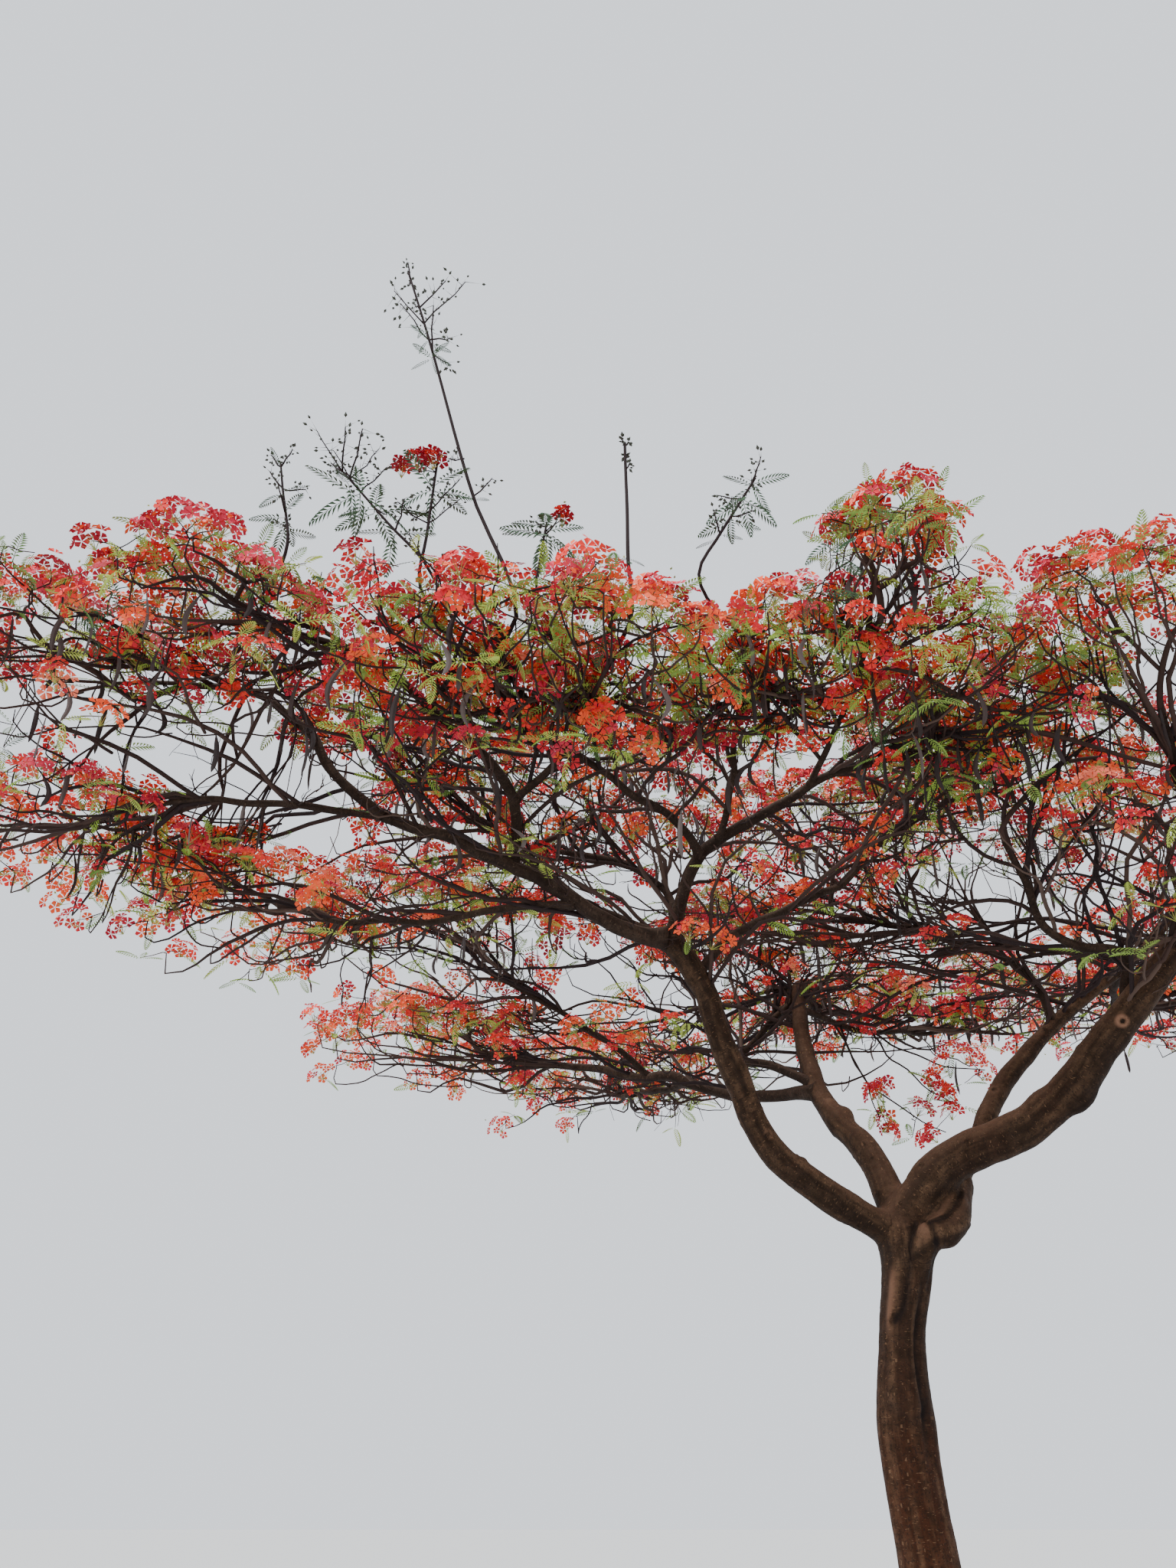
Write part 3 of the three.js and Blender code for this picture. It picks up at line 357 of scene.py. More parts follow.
# The relief of the bark, in clouds of random values: height on the trunk and on boughs, and pitch.
SWELLS = {"high": 7.0, "trunk": 1.3, "boughs": 0.8, "pitch": 260}
FLUTES = {"high": 4.0, "trunk": 1.4, "boughs": 0.6, "pitch": (70, 70, 700)}
FORK_FOLDS = {"high": 1.8, "elsewhere": 0.3, "pitch": (60, 60, 22)}
GRIT = {"high": 1.5, "pitch": 45}
WARTS = {"trunk": 4, "boughs": 8, "from": 0.62, "pitch": (52, 52, 80)}
# How pale (above 0) or dark (below 0) each of them is; the darkness in the crease and beside it is painted
# shade.
WEAR_AND_SHADE = {"ridge": 0.5, "crease": -0.75, "beside": -0.45, "warts": -0.25}
# Painted light on the sky side of limbs and painted shade on their undersides, by the way the bark faces.
SKY_SIDE_PAINTED_LIGHT = {"pale": 0.42, "power": 1.5}
UNDERSIDE_PAINTED_SHADE = {"dark": 0.5, "from": 0.1}

# Thinner limbs as tubes, each with a collar at its foot that is thicker by a share and fades over
# some radii, and damp patches.
LIMB_TUBE = {"rings": 48, "sides": 12, "sway": 0.7, "collar": 0.55, "collar_radii": 1.6}
DAMP = {"dark": 0.5, "from": 0.5, "pitch": (40, 40, 60)}
LIMB_WAVER, LIMB_SWELL, LIMB_SWELL_PITCH = 230, 0.07, 140


# Points, directions and curves.

def toward(heading, rise):
    """Unit direction of a heading and a rise, for single values or arrays of them."""
    turn, lift = np.radians(heading), np.radians(rise)
    level = np.cos(lift)
    return np.stack([level * np.cos(turn), level * np.sin(turn), np.sin(lift) + 0 * turn], -1)


def unit(vectors):
    """Vectors cut to length 1."""
    return vectors / np.maximum(np.linalg.norm(vectors, axis=-1, keepdims=True), 1e-9)


def seeded(seed):
    """Even random numbers from 0 to 1, the same each time for one seed, by the source's own rule."""
    full = 0xFFFFFFFF
    state = seed & full

    def draw():
        """The next number: the state goes on by a fixed step, and its bits are mixed three times."""
        nonlocal state
        state = (state + 0x6D2B79F5) & full
        mixed = ((state ^ (state >> 15)) * (state | 1)) & full
        mixed ^= (mixed + (((mixed ^ (mixed >> 7)) * (mixed | 61)) & full)) & full
        return (mixed ^ (mixed >> 14)) / 4294967296
    return draw


def flowing(stations, values, at):
    """A smooth curve through values at stations: cubic pieces with their neighbours' slopes."""
    stations, values, at = np.asarray(stations, float), np.asarray(values, float), np.asarray(at, float)
    slopes = np.gradient(values, stations, axis=0)
    index = np.clip(np.searchsorted(stations, at, side="right") - 1, 0, len(stations) - 2)
    width = stations[index + 1] - stations[index]
    share = np.clip((at - stations[index]) / width, 0, 1)
    shape = (-1,) + (1,) * (values.ndim - 1)
    share, width = share.reshape(shape), width.reshape(shape)
    rest = 1 - share
    return ((1 + 2 * share) * rest ** 2 * values[index] + share * rest ** 2 * width * slopes[index]
            + share ** 2 * (3 - 2 * share) * values[index + 1]
            - share ** 2 * rest * width * slopes[index + 1])


def cloudy(points, size, seed=0):
    """Smooth random values from -1 to 1 at points: random numbers on a lattice of the given pitch
    (one length, or one for each axis), blended between its corners."""
    place = points / np.asarray(size, float) + seed * 17.31
    corner = np.floor(place).astype(np.int64)
    share = place - corner
    share = share * share * (3 - 2 * share)
    total = np.zeros(len(points))
    for step in range(8):
        offset = np.array([step & 1, (step >> 1) & 1, step >> 2])
        cell = corner + offset
        mixed = (cell[:, 0] * 73856093 ^ cell[:, 1] * 19349663 ^ cell[:, 2] * 83492791) & 0x7FFFFFFF
        mixed = (mixed * 1103515245 + 12345) & 0x7FFFFFFF
        mixed = ((mixed >> 9) * 69069 + 7) & 0xFFFFF
        total += np.prod(np.where(offset, share, 1 - share), axis=1) * (mixed / 0x7FFFF - 1)
    return total


def read_off(at, stations, values):
    """Columns of values at stations, read off at other stations in straight steps."""
    return np.stack([np.interp(at, stations, column) for column in np.asarray(values).T], -1)


def travelled_along(path):
    """The distance travelled along a path at each of its points."""
    return np.concatenate([[0], np.cumsum(np.linalg.norm(np.diff(path, axis=0), axis=1))])


def level_beside(directions, upright=0.9):
    """A unit vector square to each direction, and level but where that is nearly upright."""
    helper = np.where(np.abs(directions[..., 2:3]) < upright, [0.0, 0, 1], [1.0, 0, 0])
    return unit(np.cross(helper, directions))


def bell(distance):
    """A bell curve: 1 at distance 0, and almost nothing from distance 2 on."""
    return np.exp(-np.square(distance))


# The limbs, by the source's rule.

def own_place(name, length, start, shares):
    """A limb's own place in a cloud of random values at shares of its length: the distance along it,
    a number from its name, and where it starts."""
    number = np.full(len(shares), len(name) * 91.0)
    return np.stack([shares * length, number, np.full(len(shares), start[0])], -1)


def waver(place, shares, pitch):
    """A waver to three sides, from clouds of random values, that fades toward both ends."""
    sides = np.stack([cloudy(place, pitch, number) for number in (1, 2, 3)], -1)
    return sides * np.sin(shares * math.pi)[:, None] ** 0.5


class Limb:
    """One limb: its path of equal steps whose heading and rise turn evenly, and its radii. The path
    of a thin one wavers."""

    def __init__(self, name, bearer, heading, rise, length, radius):
        self.name, self.length, self.radius = name, length, radius
        self.rooted = len(bearer) == 3
        start = np.array(bearer, float) if self.rooted else limbs[bearer[0]].point(bearer[1])
        shares = (np.arange(PATH_STEPS) + 0.5) / PATH_STEPS
        turn = np.interp(shares * (len(heading) - 1), np.arange(len(heading)), heading)
        lift = np.interp(shares * (len(rise) - 1), np.arange(len(rise)), rise)
        steps = toward(turn, lift) * (length / PATH_STEPS)
        self.path = np.concatenate([start[None], start + np.cumsum(steps, 0)])
        if radius[0] < BOUGH_RADIUS:
            along = np.linspace(0, 1, PATH_STEPS + 1)
            place = own_place(name, length, start, along)
            self.path += waver(place, along, THIN_WAVER["pitch"]) * THIN_WAVER["wide"]
        self.start = STUBS[name] * STUB_LEFT_OUT if self.rooted else 0

    def point(self, share):
        """Point, or points, at a share of the path."""
        return read_off(np.clip(share, 0, 1) * PATH_STEPS, np.arange(PATH_STEPS + 1), self.path)

    def ahead(self, share):
        """The limb's own direction at a share of it."""
        return unit(self.point(share + 0.04) - self.point(share - 0.04))

    def end(self):
        """The tip and the direction in which the source's last ring leaves it."""
        every = RING_STEPS["bough" if self.radius[0] >= BOUGH_RADIUS else "thin"]
        count = max(math.floor((1 - self.start) * PATH_STEPS / every + 0.5), 1)
        inner, tip = self.point(self.start + (1 - self.start) * np.array([(count - 1) / count, 1.0]))
        return tip, unit(tip - inner)


limbs = {}
for row in LIMBS:
    limbs[row[0]] = Limb(*row)


# The twigs of a mass, by the source's rule.

def in_cell(number, point):
    """True where a point is nearer in plan to this mass's middle than to any other's, with the gap."""
    middles = np.array([mass[2][:2] for mass in MASSES], float)
    away = np.delete(middles - middles[number], number, 0)
    apart = np.linalg.norm(away, axis=1)
    offset = (away @ (np.asarray(point)[:2] - middles[number])) / apart
    return bool(np.all(offset < (apart - MASS_GAP) / 2))


def cap_angle(index, count, spread):
    """How far a sunflower pattern's tip is from the middle of a cap, in radians, where the tips share
    the area of a cap of a given spread in degrees."""
    return np.arccos(1 - (index + 0.5) / count * (1 - math.cos(math.radians(spread))))


def tips_of(number, root, random):
    """The source's tips: a sunflower pattern over the mass's dome, a little scattered, each drawn
    back toward the stem until its truss has room in the mass's cell."""
    middle, wide, high, count = MASSES[number][2:6]
    around = toward(np.array([0, 90, 180, 270]), 0) * TRUSS_WIDE
    tips = []
    for index in range(count):
        polar = cap_angle(index, count, TIP_SPREAD)
        turn = index * SUNFLOWER_TURN + number * TIP_TURN
        reach = 1 - TIP_SCATTER * random()
        level = math.sin(polar) * wide * reach
        rise = math.cos(polar) * high * reach
        tip = np.array(middle) + [level * math.cos(turn), level * math.sin(turn), rise]
        for _ in range(TIP_TRIES):
            if all(in_cell(number, tip + side) for side in around):
                break
            tip[:2] += (root[:2] - tip[:2]) * TIP_DRAWN_BACK
        if all(in_cell(number, tip + side) for side in around):
            tips.append(tip)
    return tips


def halves(tips):
    """Parts tips in two equal halves across their greatest level extent."""
    spread = np.ptp(np.array(tips), axis=0)
    axis = 0 if spread[0] >= spread[1] else 1
    ordered = sorted(tips, key=lambda tip: tip[axis])
    cut = len(ordered) // 2
    return ordered[:cut], ordered[cut:]


def grow_twigs(root, straight, tips, random):
    """Twigs from one stem to its tips. Each runs from fork to fork to its own tip. At a fork it
    goes on toward the half of its tips that turns it least, and a side twig starts for the other
    half. Gives (points, how many tips each point bears) for each twig."""
    twigs = []

    def grow(points, bears, group):
        """One twig from its first points on to its own tip, and then the side twigs of its forks."""
        twigs.append((points, bears))
        side = []
        while len(group) > 1:
            at, middle = points[-1], np.mean(group, axis=0)
            bow = FORK_CROOK * np.linalg.norm(middle - at)
            crook = (np.array([random(), random(), random()]) - 0.5) * 2 * bow
            fork = at + (middle - at) * FORK_SHARE + crook
            heading = unit(fork - at)
            points.append(fork)
            bears.append(len(group))
            first, second = halves(group)
            turns = [unit(np.mean(half, axis=0) - fork) @ heading for half in (first, second)]
            main, other = (first, second) if turns[0] >= turns[1] else (second, first)
            side.append((len(points) - 1, other))
            group = main
        points.append(group[0])
        bears.append(1)
        for index, half in side:
            start = points[index] + (points[index - 1] - points[index]) * SIDE_BACK
            grow([start], [len(half)], half)

    grow([root, straight], [len(tips), len(tips)], tips)
    return twigs


# Meshes from arrays. Each tube's and each bough's pattern starts this far on from the last one's.

TUBES_APART, BOUGHS_APART = 371.0, 1700


def ring_faces(sides):
    """Triangles of one band between a ring of corners and the next: two for each side."""
    here = np.arange(sides)
    after = (here + 1) % sides
    return np.concatenate([np.stack([here, after, after + sides], -1),
                           np.stack([here, after + sides, here + sides], -1)])


def tube_faces(stations, sides):
    """Triangles of a closed tube of rings, with a fan over each end."""
    bands = (ring_faces(sides)[None] + (np.arange(stations - 1) * sides)[:, None, None]).reshape(-1, 3)
    fan = np.arange(1, sides - 1)
    first = np.stack([0 * fan, fan + 1, fan], -1)
    last = np.stack([0 * fan, fan, fan + 1], -1) + (stations - 1) * sides
    return np.concatenate([bands, first, last])


def tubes(paths, radii, sides):
    """Round sections carried along many paths at once, without twisting.

    paths is (paths, stations, 3) and radii (paths, stations). At each station the section's first
    side is the one before it, less its share along the path, so that it never spins. Corner = path +
    radius * (cosine of its turn * side + sine * the vector square to both). Gives the corners, the
    triangles and each corner's place across and along its path, far from that of the next path.
    """
    count, stations = radii.shape
    along = unit(np.gradient(paths, axis=1))
    side = level_beside(along[:, 0])
    turns = np.arange(sides) / sides * 2 * math.pi
    across, up = np.cos(turns)[None, :, None], np.sin(turns)[None, :, None]
    rings = np.empty((count, stations, sides, 3))
    for station in range(stations):
        ahead = along[:, station]
        side = unit(side - ahead * np.sum(side * ahead, -1, keepdims=True))
        ring = across * side[:, None] + up * np.cross(ahead, side)[:, None]
        rings[:, station] = paths[:, station, None] + ring * radii[:, station, None, None]
    lengths = np.linalg.norm(np.diff(paths, axis=1), axis=-1)
    travelled = np.concatenate([np.zeros((count, 1)), np.cumsum(lengths, 1)], 1)
    place = np.empty_like(rings)
    place[..., 0] = np.cos(turns) * radii[..., None]
    place[..., 1] = np.sin(turns) * radii[..., None]
    place[..., 2] = travelled[..., None] + (np.arange(count) * TUBES_APART)[:, None, None]
    faces = tube_faces(stations, sides)[None] + (np.arange(count) * stations * sides)[:, None, None]
    return rings.reshape(-1, 3), faces.reshape(-1, 3), place.reshape(-1, 3)


def copies(shape, faces, places, frames, sizes):
    """Many copies of one small shape: each corner is turned by the copy's frame (its three axes as
    rows), made as large along each axis as its size says, and moved to its place."""
    corners = np.einsum("nvi,nij->nvj", sizes[:, None] * shape[None], frames) + places[:, None]
    index = faces[None] + (np.arange(len(places)) * len(shape))[:, None, None]
    return corners.reshape(-1, 3), index.reshape(-1, 3)


def frames_along(forward, roll):
    """Frames whose first axis is forward, with the second level before it is rolled by an angle."""
    side = level_beside(forward, 0.97)
    over = np.cross(forward, side)
    cos, sin = np.cos(roll)[:, None], np.sin(roll)[:, None]
    return np.stack([forward, side * cos + over * sin, over * cos - side * sin], 1)


def joined(parts):
    """Several (corners, triangles) as one."""
    offsets = np.cumsum([0] + [len(part[0]) for part in parts[:-1]])
    return (np.concatenate([part[0] for part in parts]),
            np.concatenate([part[1] + offset for part, offset in zip(parts, offsets)]))


def mesh_piece(name, corners, faces, materials, shades=None, smooth=True, notes=()):
    """A piece from arrays of corners in millimetres and triangles, with a material for each face
    and any number of named notes for each corner."""
    mesh = bpy.data.meshes.new(name)
    mesh.vertices.add(len(corners))
    mesh.vertices.foreach_set("co", (corners * MM).astype(np.float32).ravel())
    mesh.loops.add(faces.size)
    mesh.loops.foreach_set("vertex_index", faces.astype(np.int32).ravel())
    mesh.polygons.add(len(faces))
    mesh.polygons.foreach_set("loop_start", np.arange(0, faces.size, 3, dtype=np.int32))
    mesh.polygons.foreach_set("use_smooth", np.full(len(faces), smooth))
    for material in materials:
        mesh.materials.append(material)
    if shades is not None:
        mesh.polygons.foreach_set("material_index", shades.astype(np.int32))
    for note, values in notes:
        kind, key = ("FLOAT_VECTOR", "vector") if values.ndim == 2 else ("FLOAT", "value")
        layer = mesh.attributes.new(note, kind, "POINT")
        layer.data.foreach_set(key, values.astype(np.float32).ravel())
    mesh.update(calc_edges=True)
    piece = bpy.data.objects.new(name, mesh)
    bpy.context.scene.collection.objects.link(piece)
    return piece


# Finishes.

def finish(name, colour, roughness, specular):
    """A plain finish: one colour and one gloss, set on the shader's own sockets."""
    material = bpy.data.materials.new(name)
    material.use_nodes = True
    shader = material.node_tree.nodes["Principled BSDF"]
    shader.inputs["Base Color"].default_value = (*colour, 1)
    shader.inputs["Roughness"].default_value = roughness
    shader.inputs["Specular IOR Level"].default_value = specular
    return material


# Bark: the heights in metres between which its low colour gives way to the high one, its darkest colours (one
# for specks, and one for warts, damp and painted shade), its gloss, and its bump (deep in metres).
BARK_CHANGE = (1.5, 3.2)
MOTTLE_DIM = 0.42
DARK_SPECK, SHADE_AND_DAMP_DARK = (0.012, 0.007, 0.005), (0.010, 0.006, 0.005)
BARK_GLOSS = 0.12
BARK_BUMP = {"strength": 0.7, "deep": 0.009}


def bark_finish(name, low, high, pale, wear_and_light):
    """Smooth bark: one colour low on the trunk and another above, softly blotched, with fine
    wrinkles that run round the limb, pale breathing pores, and a pale colour on ridges, scars,
    sky sides and knob tops. Patterns of place read Object coordinates. Those that run round a limb
    read bark_place, and the marks read the note of wear and painted light, which is above 0 where
    bark is pale with wear or with painted light on sky sides and knob tops, and below 0 where it is
    dark with warts and damp or with painted shade in creases, seams and undersides."""
    material = bpy.data.materials.new(name)
    material.use_nodes = True
    nodes, links = material.node_tree.nodes, material.node_tree.links
    shader = nodes["Principled BSDF"]

    def mix(share, one, two):
        """A colour that is a share of the way from one colour to another."""
        made = nodes.new("ShaderNodeMix")
        made.data_type, made.blend_type = "RGBA", "MIX"
        for socket, value in ((made.inputs[0], share), (made.inputs[6], one), (made.inputs[7], two)):
            if isinstance(value, (tuple, float, int)):
                socket.default_value = (*value, 1) if isinstance(value, tuple) else value
            else:
                links.new(value, socket)
        return made.outputs[2]

    def spans(value, low_end, high_end, to_low=0.0, to_high=1.0):
        """A value whose span between two ends is mapped evenly to another span, and held there."""
        made = nodes.new("ShaderNodeMapRange")
        links.new(value, made.inputs[0])
        for index, number in zip((1, 2, 3, 4), (low_end, high_end, to_low, to_high)):
            made.inputs[index].default_value = number
        return made.outputs[0]

    def sums(kind, one, two, three=None):
        """A sum of a given kind, such as one times two plus three."""
        made = nodes.new("ShaderNodeMath")
        made.operation = kind
        for index, value in enumerate((one, two, three)):
            if isinstance(value, float):
                made.inputs[index].default_value = value
            elif value is not None:
                links.new(value, made.inputs[index])
        return made.outputs[0]

    def note(kind, output):
        """A named note of the mesh's corners."""
        made = nodes.new("ShaderNodeAttribute")
        made.attribute_name = kind
        return made.outputs[output]

    def noise(vector, scale, detail, stretch=None):
        """Soft noise at a scale, finer with more detail, on a place that may be stretched first."""
        if stretch:
            mapping = nodes.new("ShaderNodeMapping")
            mapping.inputs["Scale"].default_value = stretch
            links.new(vector, mapping.inputs["Vector"])
            vector = mapping.outputs["Vector"]
        made = nodes.new("ShaderNodeTexNoise")
        made.inputs["Scale"].default_value = scale
        made.inputs["Detail"].default_value = detail
        made.inputs["Roughness"].default_value = 0.55
        links.new(vector, made.inputs["Vector"])
        return made.outputs["Fac"]

    place = nodes.new("ShaderNodeTexCoord").outputs["Object"]
    around = note("bark_place", "Vector")
    marked = note("bark_worn", "Fac")
    blotch = noise(place, 2.2, 3)
    mottle = noise(place, 14, 5)
    grain = noise(place, 120, 4)
    specks = noise(place, 62, 2)
    rings = noise(around, 1, 3, (7, 7, 60))
    pores = noise(around, 1, 1, (30, 30, 90))
    streaks = noise(around, 1, 3, (13, 13, 1.2))
    split = nodes.new("ShaderNodeSeparateXYZ")
    links.new(place, split.inputs[0])
    height = spans(split.outputs["Z"], *BARK_CHANGE)
    colour = mix(sums("ADD", height, spans(blotch, 0.35, 0.65, -0.22, 0.22)), low, high)
    dim = tuple(MOTTLE_DIM * value for value in high)
    # Layers over each other: pattern, where it starts, where it is full, how strong, and its colour.
    # The note's layers: above 0 toward the pale colour of wear and painted light, below 0 toward the dark of
    # damp, warts and painted shade.
    for pattern, start, full, strong, layer in (
            (streaks, 0.42, 0.70, 0.5, pale), (mottle, 0.36, 0.66, 0.62, dim),
            (rings, 0.56, 0.70, 0.35, DARK_SPECK), (specks, 0.55, 0.64, 0.62, DARK_SPECK),
            (pores, 0.66, 0.72, 0.6, pale), (marked, 0.0, 1.0, 1.0, wear_and_light),
            (marked, 0.0, -1.0, 1.0, SHADE_AND_DAMP_DARK)):
        colour = mix(spans(pattern, start, full, 0.0, strong), colour, layer)
    links.new(colour, shader.inputs["Base Color"])
    links.new(spans(mottle, 0.3, 0.7, 0.66, 0.86), shader.inputs["Roughness"])
    shader.inputs["Specular IOR Level"].default_value = BARK_GLOSS
    relief = sums("MULTIPLY_ADD", rings, 0.8, sums("MULTIPLY_ADD", grain, 0.35, mottle))
    bump = nodes.new("ShaderNodeBump")
    bump.inputs["Strength"].default_value = BARK_BUMP["strength"]
    bump.inputs["Distance"].default_value = BARK_BUMP["deep"]
    links.new(relief, bump.inputs["Height"])
    links.new(bump.outputs["Normal"], shader.inputs["Normal"])
    return material


def shades_of(name, roughness, specular, colours):
    """One plain finish for each of several colours."""
    return [finish("%s_%d" % (name, number), colour, roughness, specular)
            for number, colour in enumerate(colours)]


# The last colour of each bark is that of pale wear and of painted light on sky sides and knob tops.
BARK = bark_finish("trunk_bark", (0.048, 0.0145, 0.0050), (0.029, 0.0150, 0.0080),
                   (0.165, 0.090, 0.048), (0.27, 0.140, 0.086))
LIMB_BARK = bark_finish("limb_bark", (0.030, 0.0165, 0.0100), (0.028, 0.0155, 0.0100),
                        (0.110, 0.068, 0.046), (0.17, 0.105, 0.075))
TWIG_BARK = shades_of("twig_bark", 0.8, 0.12, [
    (0.034, 0.020, 0.017), (0.052, 0.031, 0.025), (0.025, 0.016, 0.016), (0.090, 0.058, 0.045)])
TWIG_SHARES = [0.38, 0.3, 0.22, 0.1]
# Petal shades. The pale coral ones, the fifth and the seventh, are partly the petals' own paler tone and
# partly painted highlight.
PETALS = shades_of("petal", 0.6, 0.15, [
    (0.81, 0.046, 0.034), (0.92, 0.120, 0.038), (0.54, 0.024, 0.052), (0.70, 0.052, 0.092),
    (0.95, 0.210, 0.120), (0.66, 0.028, 0.040), (0.86, 0.135, 0.180), (0.37, 0.014, 0.030)])
# Shares of the petals' shades low in the crown and high in it, and the same of the leaves' shades. The high
# shares lean to the darkest shades, partly as painted shade of the backlit top of the crown.
LOW_TONES = np.array([0.32, 0.26, 0.10, 0.04, 0.06, 0.20, 0.0, 0.02])
HIGH_TONES = np.array([0.10, 0.0, 0.32, 0.18, 0.0, 0.20, 0.02, 0.18])
LEAVES = shades_of("leaf", 0.55, 0.25, [
    (0.300, 0.450, 0.060), (0.180, 0.310, 0.060), (0.440, 0.540, 0.095), (0.120, 0.220, 0.060),
    (0.240, 0.360, 0.065), (0.050, 0.110, 0.050)])
LOW_GREENS = np.array([0.32, 0.14, 0.32, 0.04, 0.18, 0.0])
HIGH_GREENS = np.array([0.20, 0.26, 0.08, 0.20, 0.20, 0.06])
STALKS = shades_of("flower_stalk", 0.6, 0.35, [
    (0.340, 0.390, 0.080), (0.420, 0.270, 0.075), (0.170, 0.210, 0.050), (0.034, 0.040, 0.024)])
# Shoots' stalks and buds take only the darkest stalk shade, as painted shade of shoots seen against the sky.
FLOWER_STALK_SHARES, BUD_SHARES, SHOOT_SHARES = [0.55, 0.25, 0.2, 0], [0.5, 0.3, 0.2, 0], [0, 0, 0, 1]
POD_SKINS = shades_of("pod", 0.62, 0.35, [
    (0.030, 0.020, 0.019), (0.052, 0.034, 0.030), (0.125, 0.098, 0.090)])
POD_SHARES = [0.5, 0.32, 0.18]


# Bark of the trunk and boughs.

def trunk_rings(heights, sides):
    """Level sections round the leaning heart, by the source's rule: root ridges that fade upward
    and a groove down one side, where two stems have grown into one."""
    heart = np.array(TRUNK_HEART, float)
    middle = flowing(heart[:, 2], heart[:, :2], heights)
    radius = flowing(TRUNK_GIRTH["height"], TRUNK_GIRTH["radius"], heights)
    turn = np.arange(sides) / sides * 2 * math.pi
    ridge = np.maximum(np.cos(ROOT_FLARE["ridges"] * turn + ROOT_FLARE["turn"]), -0.35)
    fade = np.exp(-heights / ROOT_FLARE["fade"])[:, None]
    flare = 1 + ROOT_FLARE["reach"] * (0.45 + 0.55 * ridge)[None] * fade
    off = np.angle(np.exp(1j * (turn - math.radians(TRUNK_GROOVE["heading"]))))
    across = bell(off / math.radians(TRUNK_GROOVE["width"]))
    up = bell((heights - TRUNK_GROOVE["middle"]) / TRUNK_GROOVE["length"])
    reach = radius[:, None] * flare * (1 - TRUNK_GROOVE["depth"] * up[:, None] * across[None])
    rings = np.empty((len(heights), sides, 3))
    rings[..., 0] = middle[:, :1] + np.cos(turn) * reach
    rings[..., 1] = middle[:, 1:] + np.sin(turn) * reach
    rings[..., 2] = heights[:, None]
    return rings, middle, radius


def limb_curve(limb, stations, sway):
    """A limb's path as a smooth curve that wavers by a share of its radius, and its radius, which
    changes evenly from end to end, with swellings."""
    shares = np.linspace(0, 1, stations)
    path = flowing(np.linspace(0, 1, PATH_STEPS + 1), limb.path, shares)
    place = own_place(limb.name, limb.length, limb.path[0], shares)
    radius = np.interp(shares, [0, 1], limb.radius)
    path = path + waver(place, shares, LIMB_WAVER) * radius[:, None] * sway
    return path, radius * (1 + LIMB_SWELL * cloudy(place, LIMB_SWELL_PITCH, 5))


def bent(name, path, radius):
    """A bough's curve and radius, shifted and thickened at shares of its length."""
    if name not in BENT:
        return path, radius
    at = np.linspace(0, 1, len(path))
    shift, lift, thicker = (np.interp(at, BENT[name][0], row) for row in BENT[name][1:])
    return path + np.column_stack([shift, 0 * at, lift]), radius * thicker


def joined_boughs():
    """The trunk and the thick boughs as closed tubes, joined on a fine lattice. Gives the corners,
    triangles and edges of the one skin round them, and the curve and radius of each."""
    heights = np.linspace(0, TRUNK_GIRTH["height"][-1], TRUNK_TUBE["rings"])
    rings, heart, girth = trunk_rings(heights, TRUNK_TUBE["sides"])
    curves = {"trunk": (np.column_stack([heart, heights]), girth)}
    for name in SKIN_BOUGHS:
        curves[name] = bent(name, *limb_curve(limbs[name], BOUGH_TUBE["rings"], BOUGH_TUBE["sway"]))
    web = flowing(np.arange(len(WEB)), WEB, np.linspace(0, len(WEB) - 1, WEB_RINGS))
    curves["web"] = (web, np.full(WEB_RINGS, WEB_RADIUS))
    parts = [(rings.reshape(-1, 3), tube_faces(*rings.shape[:2]))]
    for path, radius in list(curves.values())[1:]:
        parts.append(tubes(path[None], radius[None], BOUGH_TUBE["sides"])[:2])
    lump = mesh_piece("bark_tubes", *joined(parts), [])
    lattice = lump.modifiers.new("join", "REMESH")
    lattice.mode, lattice.voxel_size = "VOXEL", LATTICE
    skin = bpy.data.meshes.new_from_object(lump.evaluated_get(bpy.context.evaluated_depsgraph_get()))
    bpy.data.objects.remove(lump)
    skin.calc_loop_triangles()
    points = np.empty(len(skin.vertices) * 3)
    skin.vertices.foreach_get("co", points)
    triangles = np.empty(len(skin.loop_triangles) * 3, np.int32)
    skin.loop_triangles.foreach_get("vertices", triangles)
    edges = np.empty(len(skin.edges) * 2, np.int32)
    skin.edges.foreach_get("vertices", edges)
    return points.reshape(-1, 3) / MM, triangles.reshape(-1, 3), edges.reshape(-1, 2), curves


def nearest_curve(points, curves):
    """For each corner, the number of the curve whose surface it is nearest to, and its place across
    and along that curve."""
    best = np.full(len(points), np.inf)
    place = np.zeros_like(points)
    owner = np.zeros(len(points), int)
    for number, (path, radius) in enumerate(curves.values()):
        travelled = travelled_along(path)
        dense = np.linspace(0, travelled[-1], 160)
        spots = read_off(dense, travelled, path)
        girths = np.interp(dense, travelled, radius)
        along = unit(np.gradient(spots, axis=0))
        for start in range(0, len(points), CORNERS_AT_ONCE):
            block = slice(start, start + CORNERS_AT_ONCE)
            apart = np.linalg.norm(points[block, None] - spots[None], axis=2)
            index = np.argmin(apart, axis=1)
            value = (apart - girths[None])[np.arange(len(index)), index]
            closer = value < best[block]
            chosen = np.where(closer)[0] + start
            index = index[closer]
            best[chosen] = value[closer]
            owner[chosen] = number
            offset, ahead = points[chosen] - spots[index], along[index]
            level = -level_beside(ahead)
            place[chosen] = np.stack([
                np.sum(offset * level, 1), np.sum(offset * np.cross(ahead, level), 1),
                dense[index] + number * BOUGHS_APART], -1)
    return owner, place


